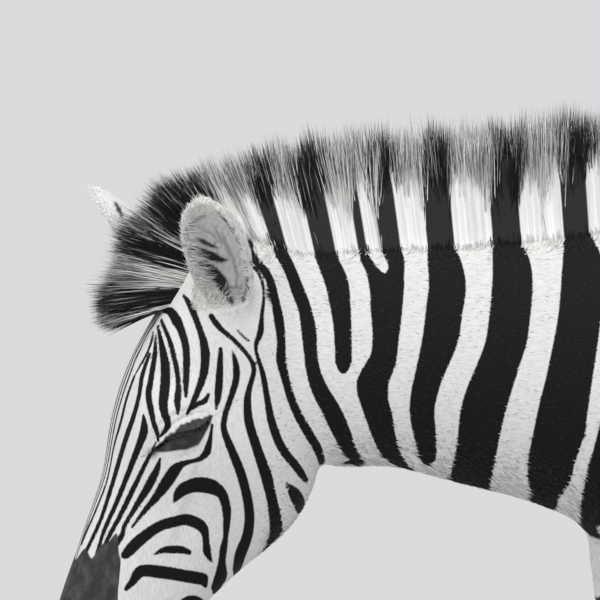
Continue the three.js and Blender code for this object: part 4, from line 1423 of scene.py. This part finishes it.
# The solid crest inside the mane, in its colours. Each side rises from its foot along the lean, and draws in
# toward the middle by the root of the height left.
def growBed():
    runs = np.arange(3.0, maneRun[-1] - 3, mane["bedStep"])
    level = np.linspace(0, 1, mane["bedRows"])[:, None]
    heights = level[:, :, None]
    lean = np.radians(table(mane["lean"], runs))
    along = np.stack([np.cos(lean), 0 * lean, np.sin(lean)], axis=1)
    reach = table(mane["length"], runs) * np.interp(runs, [60, 130], [0.45, 0.7])
    middle = maneRoots(runs, 0 * runs)
    rise = (along * reach[:, None])[None] * heights - along[None] * 6 * (1 - heights)
    points, tones = [], []
    for side in (-1, 1):
        foot = maneRoots(runs, table(mane["bedHalf"], runs) * side)
        inward = (1 - heights) ** 0.5 * (1 - 0.25 * heights)
        points.append(middle[None] + rise + (foot - middle)[None] * inward)
        black = np.where(runs < 140, table(mane["bands"], runs) > 0.5, stripeValue(foot) > 0)
        tones.append(np.where(black[None], 1.0, np.clip((level - 0.8) * 3, 0, 0.6)))
    points, tones = (np.concatenate([rows[0], rows[1][::-1]]) for rows in (points, tones))
    bed = meshObject("maneBed", toFrame(points.reshape(-1, 3)), netQuadsOf(*points.shape[:2]))
    strands = draws.uniform(*mane["strands"], tones.shape[1])[None] * draws.uniform(0.96, 1.04, tones.shape)
    # strands lighter toward the bed's foot: painted light against the shade where the bed meets the neck
    strands *= 1 + 0.25 * np.exp(-np.concatenate([level, level[::-1]]) / 0.15)
    setAttribute(bed, "tone", tones.ravel())
    setAttribute(bed, "shade", strands.ravel())
    bed.data.materials.append(longHair)
    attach(bed, "root")
    print("mane bed", len(bed.data.polygons), "faces")


# The quads of a grid of points, row by row.
def netQuadsOf(rows, columns):
    i, j = np.meshgrid(np.arange(rows - 1), np.arange(columns - 1), indexing="ij")
    first = (i * columns + j).ravel()
    return np.stack([first, first + columns, first + columns + 1, first + 1], axis=1)


maneLine, maneRun = manePath()
growBed()
for name, (start, end, count) in maneParts.items():
    piece = growMane(name, start, min(end, maneRun[-1]), count)
    node = "forelock" if name == "forelock" else "mane_" + name[4:].lower()
    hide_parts(node)


netTriangles = np.concatenate([netQuads[:, [0, 1, 2]], netQuads[:, [0, 2, 3]],
                               [[ring[0], *pair] for ring in netOthers for pair in zip(ring[1:], ring[2:])]])
netCorners = netPoints[netTriangles]
netCross = np.cross(netCorners[:, 1] - netCorners[:, 0], netCorners[:, 2] - netCorners[:, 0])
netAreas = np.linalg.norm(netCross, axis=1) / 2
netMiddles = netCorners.mean(axis=1)


# Points and normals on the skin, as dense as its weight makes each triangle.
def scatter(count, weights):
    share = netAreas * weights
    chosen = np.searchsorted(np.cumsum(share), draws.random(count) * share.sum())
    u, v = draws.random(count), draws.random(count)
    u, v = np.where(u + v > 1, 1 - u, u), np.where(u + v > 1, 1 - v, v)
    mix = np.stack([1 - u - v, u, v], axis=1)[:, :, None]
    corners = netTriangles[chosen]
    return (netPoints[corners] * mix).sum(axis=1), unit((netNormals[corners] * mix).sum(axis=1))


# 0 below low, 1 above high, and 3 f^2 - 2 f^3 between them.
def ease(x, low, high):
    f = np.clip((x - low) / (high - low), 0, 1)
    return f * f * (3 - 2 * f)


# The way the hair lies, in the skin: down the face and back over the cheeks, back along the neck and
# trunk, down the rump and legs, and up toward the mane.
def lieOf(points, normals):
    x, _, z = points.T
    head = toHead(points)
    cheek = ease(-head[:, 1], -45, 40)[:, None]
    face = faceDown * (1 - 0.35 * cheek) - faceOut * 0.75 * cheek
    body = np.stack([0.92 + 0 * x, 0 * x, -0.28 - 0.5 * ease(x, 900, 1200)], axis=1)
    leg = np.array([0.12, 0, -1.0])
    toFace = ease(-x, 385, 440)[:, None] * (head[:, 0] > -60)[:, None]
    toLeg = ease(-z, -780, -600)[:, None]
    way = (face * toFace + body * (1 - toFace)) * (1 - toLeg) + leg * toLeg
    rise = crestShare(points)[:, None]
    way = way * (1 - rise) + np.array([-0.04, 0, 1.0]) * rise
    return unit(way - (way * normals).sum(axis=1, keepdims=True) * normals)


# 1 at the roots of the mane, fading to 0 a few centimetres down the neck.
def crestShare(points):
    x, _, z = points.T
    top = np.interp(x, neckTable[0], neckTable[1] + neckTable[2])
    return ease(z - top, -42, -12) * ((x > -455) & (x < 215))


# Places on an unwrap: the angle round a part and the length along it, spread to fill the map.
def chart(points, kind):
    if kind == "leg":
        x, y, z = points.T
        centre = np.where(x > 600, *(np.interp(z, rows[0], rows[1]) for rows in (hindTable, foreTable)))
        around = np.arctan2(np.abs(y) - axes["legY"], x - centre) / (2 * np.pi) + 0.5
        places = np.stack([((x > 600) * 2 + (y > 0) + around) / 4, z], axis=1)
    else:
        places = np.stack(aroundAlong(kind, points), axis=1)
    return fitPlaces(places)


# Columns moved and scaled so that nearly all of each lies in 0.015 to 0.985.
def fitPlaces(places):
    low, high = np.percentile(places, [0.5, 99.5], axis=0)
    return np.clip((places - low) / (high - low), 0, 1) * 0.97 + 0.015


# Black of a tuft from the markings at its root; bare skin shows as nearly black.
def coatTone(points, jitter):
    marked = np.maximum(stripeValue(points), noseLineValue(points))
    black = (marked + draws.normal(0, jitter, len(points)) > 0).astype(float)
    # on the ears, the tufts take the ears' tones together with their painted shade
    black = np.where(points[:, 2] > 1190, np.maximum(black, earTonesAndShade(points)), black)
    return np.where(muzzleDepth(points) + draws.normal(0, 3, len(points)) > 0, 0.945, black)


shortHair = hairMaterial("coatHair", hairLooks["coat"])
# Each fur piece: tufts, how long, wide and raised they are, and which chart and part of the skin they use.
faceFur = {"count": 13500, "length": 5.0, "wide": 1.0, "raise": 0.12, "chart": "head"}
furs = {
    "furFaceLeft": {**faceFur, "side": -1}, "furFaceRight": {**faceFur, "side": 1},
    "furNeck": {"count": 19500, "length": 8.0, "wide": 1.3, "raise": 0.12, "chart": "body", "x": (-400, 70)},
    "furTrunk": {"count": 16500, "length": 13.0, "wide": 2.2, "raise": 0.11, "chart": "body",
                 "x": (70, 1400)},
    "furLegs": {"count": 16000, "length": 9.0, "wide": 1.8, "raise": 0.12, "chart": "leg"},
}


# How thickly a piece of fur grows: on its own part of the skin, and more where the outline shows it.
def furWeights(fur):
    x, y, z = netMiddles.T
    head = onHead(netMiddles)
    leg = (z < 700) & ~head
    if fur["chart"] == "head":
        ear, onLid = earTonesAndShade(netMiddles) > 0, lidDepth(netMiddles)
        bare = np.maximum(onLid, muzzleDepth(netMiddles)) > 1
        return head * (y * fur["side"] > 0) * (1 - 0.8 * ear) * (1 - 0.55 * bare) * (onLid < -1)
    if fur["chart"] == "leg":
        return leg * (1 + 1.5 * (z < 220))
    low, high = fur["x"]
    under = 1.5 * ease(-netCross[:, 2] / (2 * netAreas), 0.2, 0.8)
    return (~head & ~leg & (x >= low) & (x < high)) * (1 + under + 1.5 * crestShare(netMiddles))


# One piece of short fur: tufts along the lie of the hair, a little raised and scattered about it, shorter
# toward the nose, longer under the belly and at the crest.
def growFur(name, fur):
    count = fur["count"]
    root, normal = scatter(count, furWeights(fur))
    along = lieOf(root, normal)
    side = np.cross(normal, along)
    crest = crestShare(root)
    nose = ease(toHead(root)[:, 0], 60, 330) * (root[:, 0] < -398)
    under = ease(-normal[:, 2], 0.3, 0.9) * (root[:, 0] > -430)
    lift = fur["raise"] * draws.uniform(0.5, 1.4, count) + 0.10 * under + 0.05 * crest
    along = unit(along + side * draws.normal(0, 0.14, count)[:, None] + normal * lift[:, None])
    length = fur["length"] * draws.uniform(0.7, 1.25, count) * (1 - 0.45 * nose)
    length = length * (1 + 0.5 * under) + 6 * crest
    tone = coatTone(root + along * length[:, None] * 0.5, 0.25 * fur["wide"])[:, None] * np.ones((1, 3))
    tufts = {"root": root - along * 0.8 - normal * 0.35, "along": along, "up": normal,
             "bend": -normal * (0.05 * length * (1 - crest))[:, None], "length": length,
             "wide": fur["wide"] * draws.uniform(0.7, 1.3, count) * (1 - 0.3 * nose),
             "thick": 0.45 * fur["wide"] * np.ones(count), "tone": tone,
             "shade": draws.uniform(0.90, 1.10, count), "place": chart(root, fur["chart"])}
    return growTufts(name, tufts, (0.0, 0.5), (0.85, 1.0), shortHair)


earHair = {"inner": {"count": 450, "length": (10, 24)}, "rim": {"count": 1900, "length": (5, 11)}}


# Hair of the ears: long and loose from the front rim and the root across the hollow, short round the rim.
def growEars():
    rows = []
    shown = earTonesAndShade(netMiddles)
    for name, ear in ears.items():
        _, axis, out, wide = earAxes(ear)
        f, u, v, deep = earPlaces(netMiddles, ear)
        near = (f > 0.07) & (f < 1.04) & (np.abs(v) < 1.3) & (np.abs(u) < 1.6)
        front = 1 if name == "right" else -1
        inner = near & (deep > 1.8) & ((v * front > 0.62) & (f > 0.15) & (f < 0.85) | (f < 0.14))
        rim = near & (u > -0.2) & ((deep <= 2.5) | (shown < 0.04))
        up = unit(axis[None])
        for kind, where in (("inner", inner), ("rim", rim)):
            count = earHair[kind]["count"]
            root, normal = scatter(count, where)
            f, _, v, _ = earPlaces(root, ear)
            size = draws.uniform(*earHair[kind]["length"], count)
            if kind == "inner":
                low = np.clip(1 - f / 0.25, 0, 1)[:, None]
                way = up * (0.25 + 0.7 * low) - wide[None] * front * (0.9 - 0.75 * low) + out[None] * 0.3
                # inner hairs darkened by the ears' tones, the painted shade of their folds included
                tone = np.clip(draws.normal(0.03, 0.06, count) + 0.25 * earTonesAndShade(root), 0, 0.5)
            else:
                across = wide[None] * (-np.sign(v) * np.abs(v) ** 0.7)[:, None]
                way = up * 0.8 + out[None] * 0.22 + across * 0.3
                tone = np.clip(draws.normal(-0.02, 0.04, count), 0, 0.2)
            way = unit(way + draws.normal(0, 0.22, (count, 3)) + 0.15 * normal)
            rows.append((root, normal, way, size, tone))
    root, normal, along, length, tone = (np.concatenate(column) for column in zip(*rows))
    count = len(root)
    spots = np.stack([0.5 * (root[:, 1] > 0) + 0.00225 * (root[:, 0] + 560), root[:, 2]], axis=1)
    # a shade above 1 paints the ear hair lighter: painted light against the shade between the hairs
    tufts = {"root": root - 0.8 * along, "along": along, "up": normal + 0.01,
             "bend": draws.normal(0, 1.2, (count, 3)) - 0.06 * length[:, None] * normal, "length": length,
             "wide": draws.uniform(0.6, 1.1, count), "thick": 0.5 * np.ones(count),
             "tone": tone[:, None] * np.ones((1, 3)), "shade": draws.uniform(1.02, 1.2, count),
             "place": fitPlaces(spots)}
    bright = hairMaterial("earHair", hairLooks["ear"])
    return growTufts("furEars", tufts, (0.0, 0.5), (1.0, 0.8), bright)


for name, fur in furs.items():
    growFur(name, fur)
growEars()


# A piece on the root body in place of CAD nodes, with its material.
def addPart(name, points, faces, material, nodes):
    piece = meshObject(name, toFrame(points), faces)
    piece.data.materials.append(material)
    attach(piece, "root")
    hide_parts(*nodes)
    return piece


eyeball = {"rows": 28, "columns": 40, "colour": (0.012, 0.009, 0.007, 1), "rough": 0.07, "gloss": 0.6}


# A dark, wet ball behind the nearly closed lids of each side: the cosines and sine of two angles on a grid.
def addEyes():
    material, tree, shader = newMaterial("wetEye")
    feed(tree, shader, {"Base Color": eyeball["colour"], "Roughness": eyeball["rough"],
                        "Specular IOR Level": eyeball["gloss"]})
    up = np.linspace(-math.pi / 2, math.pi / 2, eyeball["rows"])[:, None]
    turn = np.linspace(0, 2 * math.pi, eyeball["columns"])[None]
    ball = np.stack([np.cos(up) * np.cos(turn), np.cos(up) * np.sin(turn), np.sin(up) + 0 * turn], axis=2)
    faces = netQuadsOf(eyeball["rows"], eyeball["columns"])[:, ::-1]
    for name, side in (("left", -1), ("right", 1)):
        points = fromHead(eye["s"], eye["t"], side * eye["y"]) + eye["ball"] * ball.reshape(-1, 3)
        mesh = addPart("eye" + name.title(), points, faces, material, ["eye_" + name]).data
        joined = bmesh.new()
        joined.from_mesh(mesh)
        bmesh.ops.remove_doubles(joined, verts=joined.verts, dist=1e-5)
        joined.to_mesh(mesh)
        joined.free()
    print("eyes", len(ball), "rings each")


lashes = {"count": 240, "length": (7, 13), "from": -24, "to": 33}
whiskers = {"count": 150, "length": (14, 45), "s": (405, 470), "t": (-52, 45)}


# Roots, ways and lengths of the lashes along the slit, or of the whiskers of lips and chin, both sides.
def faceHairs(hairs):
    count = hairs["count"]
    side = np.where(np.arange(count) % 2 == 0, -1.0, 1.0)
    if hairs is lashes:
        a = draws.uniform(hairs["from"], hairs["to"], count)
        b = table(lids["slit"], a) + 2.2 + draws.normal(0, 0.5, count)
        s, t = (lids["middle"][i] + a * lids["along"][i] + b * lids["up"][i] for i in (0, 1))
        way = np.stack([0.35 + 0.012 * a, -0.45 - 0 * a, side * 0.75], axis=1)
        length = draws.uniform(*hairs["length"], count) * (1 - (a / 50) ** 2)
    else:
        s, t = (draws.uniform(*hairs[axis], count) for axis in ("s", "t"))
        way = np.stack([0.35 + 0 * s, 0.3 * np.sign(t), side * draws.uniform(0.3, 1.0, count)], axis=1)
        length = draws.uniform(*hairs["length"], count)
    origin = fromHead(s, t, side * 150)
    hits = [skinTree.ray_cast(Vector(o), Vector((0, -k, 0)))[0] for o, k in zip(origin, side)]
    kept = np.array([h is not None for h in hits])
    root = np.array([list(h) for h in hits if h is not None])
    way = fromHead(*way.T) - fromHead(0, 0, 0)
    return root, unit(way + draws.normal(0, 0.14, way.shape))[kept], length[kept]


# Lashes and whiskers in one piece of long, thin, nearly black hairs, each bent down under its weight.
def growFaceHairs():
    root, along, length = (np.concatenate(pair) for pair in zip(faceHairs(lashes), faceHairs(whiskers)))
    count = len(root)
    tufts = {"root": root - along, "along": along, "up": np.array([[0.1, 0.2, 1.0]]) * np.ones((count, 1)),
             "bend": np.array([[0, 0, -0.16]]) * length[:, None], "length": length,
             "wide": 0.55 * np.ones(count), "thick": 0.5 * np.ones(count), "shade": np.ones(count),
             "tone": 0.97 * np.ones((count, 4)), "place": 0.01 + 0.98 * spreadPoints(count, 9)}
    growTufts("lashesAndWhiskers", tufts, (0.0, 0.4, 0.75), (1.0, 0.9, 0.6), longHair)


addEyes()
growFaceHairs()


tail = {"count": 3300, "root": (800, 905), "end": (470, 700), "blackFrom": 860, "paleShare": 0.10,
        "wide": (1.6, 2.6), "girths": (0.8, 1.0, 1.0, 0.7), "inside": (0.6, 0.9, 1.0, 0.98, 0.85)}
# x, height and radius of the tuft's outline
tuftRows = [(1366, 905, 14), (1360, 862, 19), (1359, 815, 26), (1358, 740, 33), (1356, 650, 37),
            (1354, 570, 35), (1352, 505, 22), (1351, 462, 5)]


# Long hairs that hang from the dock's last stretch and fill the tuft's outline, darker toward the end. A
# hair's points lie at its own share of the outline's radius, at its angle, with a slow wave in height.
def growTail():
    count = tail["count"]
    middles, heights, radii = np.array(tuftRows, float)[::-1].T
    spots = spreadPoints(count, 17)
    turn = 2 * math.pi * spots[:, 0]
    low, top = tail["root"]
    high = low + (top - low) * spots[:, 1] ** 0.7
    lock = np.floor(turn * 5 + draws.normal(0, 0.3, count)).astype(int)
    lockEnd = np.random.default_rng(8).random(64)[lock % 64]
    low, top = tail["end"]
    end = low + (top - low) * (0.5 * lockEnd + 0.5 * draws.random(count)) ** 1.6
    share = np.sqrt(draws.uniform(0.35, 1, count))
    z = high[:, None] + (end - high)[:, None] * np.linspace(0, 1, 5)
    radius = np.interp(z, heights, radii) * share[:, None] * np.array(tail["inside"])
    radius[:, 0] = np.minimum(radius[:, 0], 10)
    wave = 2.2 * np.sin(z / 38 + 6 * lockEnd[:, None])
    points = np.stack([np.interp(z, heights, middles) + radius * np.cos(turn)[:, None] + wave * 0.5,
                       radius * np.sin(turn)[:, None] + wave, z], axis=2)
    black = 0.97 * (np.clip((tail["blackFrom"] - z) / 60, 0, 1) > draws.random(count)[:, None] * 0.9)
    tone = np.where(draws.random(count)[:, None] < tail["paleShare"], 0.15, black)
    wide = draws.uniform(*tail["wide"], count)
    ahead = unit(points[:, 1] - points[:, 0])
    out = unit((points[:, 1] - points[:, 0] * [1, 0, 0] - points[:, 1] * [0, 0, 1]) + 1e-3)
    side = unit(np.cross(ahead, out + [0.01, 0.02, 0]))
    girth = wide[:, None, None] * np.array(tail["girths"])[None, :, None]
    across, lift = side[:, None] * girth / 2, np.cross(side, ahead)[:, None] * girth / 3
    body = points[:, :-1]
    rings = np.stack([body - across - 0.5 * lift, body + across - 0.5 * lift, body + lift], axis=2)
    piece = bladeMesh("tailHair", rings, points[:, -1], (0, 0.2, 0.4, 0.6), 0.01 + 0.98 * spots, tone,
                      draws.uniform(0.9, 1.1, count), longHair)
    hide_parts("tail_tuft")


growTail()

# The hairline is highest at the toe: its middle height, and its rise forward of that.
hooves = {"rings": 26, "around": 44, "ridge": 0.35, "coronet": 1.5, "hairline": 54, "rise": 11, "top": 78,
          "cap": 84, "inset": 0.45, "heelDip": 0.16, "x": {"fore": 155, "hind": 1168},
          "dark": (0.028, 0.025, 0.022, 1), "light": (0.075, 0.067, 0.058, 1), "rough": (0.40, 0.66)}
# height, shift of the middle forward, reach forward and back, half width
hoofRows = [(0, 14, 47, 39, 42), (8, 13, 48, 40, 43), (66, 4, 37, 33, 35), (78, 0, 35.5, 31.5, 33.5)]


# Dark horn streaked down the wall, and black hair above the hairline, which noise makes ragged.
def hoofMaterial():
    material, tree, shader = newMaterial("hoofHorn")
    noise = drawnNoise(tree, (260, 260, 30), 3.0)
    ragged = maths(tree, "ADD", attribute(tree, "above"), maths(tree, "MULTIPLY_ADD", noise, 5.0, -2.5))
    hairy = ranged(tree, ragged, -1.0, 1.0)
    horn = blend(tree, noise, hooves["dark"], hooves["light"])
    feed(tree, shader, {"Base Color": blend(tree, hairy, horn, coatLook["black"]),
                        "Roughness": ranged(tree, hairy, 0.0, 1.0, *hooves["rough"])})
    return material


# A wall of rings from the ground to the coronet, closed by a sole below and a cap hidden in the leg. A ring
# is an oval of the rows' reaches, swollen by growth ridges and the coronet, and dips in at the heel.
def addHooves():
    material = hoofMaterial()
    rows = np.array(hoofRows, float)
    n, rings = hooves["around"], hooves["rings"]
    turn = np.linspace(0, 2 * math.pi, n, endpoint=False)
    z = np.linspace(0, hooves["top"], rings)[:, None]
    shift, fore, aft, wide = (np.interp(z, rows[:, 0], column) for column in rows.T[1:])
    hairline = hooves["hairline"] - hooves["rise"] * np.cos(turn)
    swell = hooves["ridge"] * np.sin(z / 1.9) * (z > 4) * (z < hairline - 4) - hooves["inset"]
    swell = swell + hooves["coronet"] * np.exp(-((z - hairline - 1) / 4) ** 2)
    reach = np.where(np.cos(turn) < 0, fore, aft) + swell
    heel = 1 - hooves["heelDip"] * (bump(turn, 0.3) + bump(turn - 2 * math.pi, 0.3))
    ahead, aside = reach * np.cos(turn) * heel - shift, (wide + swell) * np.sin(turn)
    wall = np.stack([ahead, aside, 0 * turn + z], axis=2)
    points = np.concatenate([wall.reshape(-1, 3), [[0, 0, hooves["cap"]], [-12, 0, 0]]])
    above = np.concatenate([(z - hairline).ravel(), [10, -50]])
    around = np.arange(rings * n).reshape(rings, n)
    around = np.concatenate([around, around[:, :1]], axis=1).ravel()
    faces = around[netQuadsOf(rings, n + 1)][:, [0, 3, 2, 1]].tolist()
    rim = (rings - 1) * n
    faces += [[rim + i, rim + (i + 1) % n, len(points) - 2] for i in range(n)]
    faces += [[(i + 1) % n, i, len(points) - 1] for i in range(n)]
    for end, topX in hooves["x"].items():
        for side, sign in (("left", -1), ("right", 1)):
            stagger = legs[end + side.title()]["stagger"] * (1 - hooves["top"] / staggerHeight)
            place = points + [topX + stagger, sign * axes["legY"], 0]
            piece = addPart(f"hoof{end.title()}{side.title()}", place, faces, material,
                            [f"hoof_{end}_{side}"])
            setAttribute(piece, "above", above)
    print("hooves", len(faces), "faces each")


addHooves()

studio = {
    "floor": (0.62, 0.62, 0.62, 1), "world": (0.70, 0.705, 0.72, 1), "floorHalf": 90,
    "floorReach": (6.0, 16.0),
    "key": {"place": (-1.5, -2.2, 6.0), "size": 4.5, "power": 150.0, "target": (-0.4, 0, 1.0)},
    "fill": {"place": (-4.5, -3.5, 2.2), "size": 3.5, "power": 40.0, "target": (-0.5, 0, 1.0)},
}


# Adds a camera or light at a place, facing along a way.
def putIn(name, data, place, way):
    made = addObject(name, data)
    made.location = place
    made.rotation_euler = Vector(way).to_track_quat("-Z", "Y").to_euler()
    return made


# The camera at the view's eye, with a lens as long as gives the view's scale at its distance.
def addCamera():
    data = bpy.data.cameras.new("camera")
    data.sensor_width = 36
    data.lens = data.sensor_width * view["distance"] * view["perMillimetre"] / view["frame"]
    data.clip_end = 100
    bpy.context.scene.camera = putIn("camera", data, toFrame(viewEye), viewForward)


# A pale floor that turns into the pale surroundings some way off, a wide light overhead and a soft one.
def addRoom():
    world = bpy.data.worlds.new("studio")
    world.use_nodes = True
    world.node_tree.nodes["Background"].inputs["Color"].default_value = studio["world"]
    bpy.context.scene.world = world
    corners = studio["floorHalf"] * np.array([(-1, -1, 0), (1, -1, 0), (1, 1, 0), (-1, 1, 0)], float)
    floor = meshObject("floor", corners, [[0, 1, 2, 3]], smooth=False)
    material, tree, shader = newMaterial("floorPaint")
    feed(tree, shader, {"Base Color": studio["floor"], "Roughness": 0.9})
    place = addNode(tree, "ShaderNodeTexCoord").outputs["Object"]
    away = addNode(tree, "ShaderNodeVectorMath", {0: place}, operation="LENGTH").outputs["Value"]
    glow = addNode(tree, "ShaderNodeEmission", {"Color": studio["world"]}).outputs["Emission"]
    mix = addNode(tree, "ShaderNodeMixShader", {
        "Fac": ranged(tree, away, *studio["floorReach"], smooth=True), 1: shader.outputs["BSDF"], 2: glow})
    feed(tree, tree.nodes["Material Output"], {"Surface": mix.outputs["Shader"]})
    floor.data.materials.append(material)
    for name in ("key", "fill"):
        light = studio[name]
        data = bpy.data.lights.new(name, "AREA")
        data.energy, data.size = light["power"], light["size"]
        putIn(name, data, light["place"], Vector(light["target"]) - Vector(light["place"]))
    bpy.context.scene.view_settings.view_transform = "Standard"
    print("room, camera and lights")


addCamera()
addRoom()
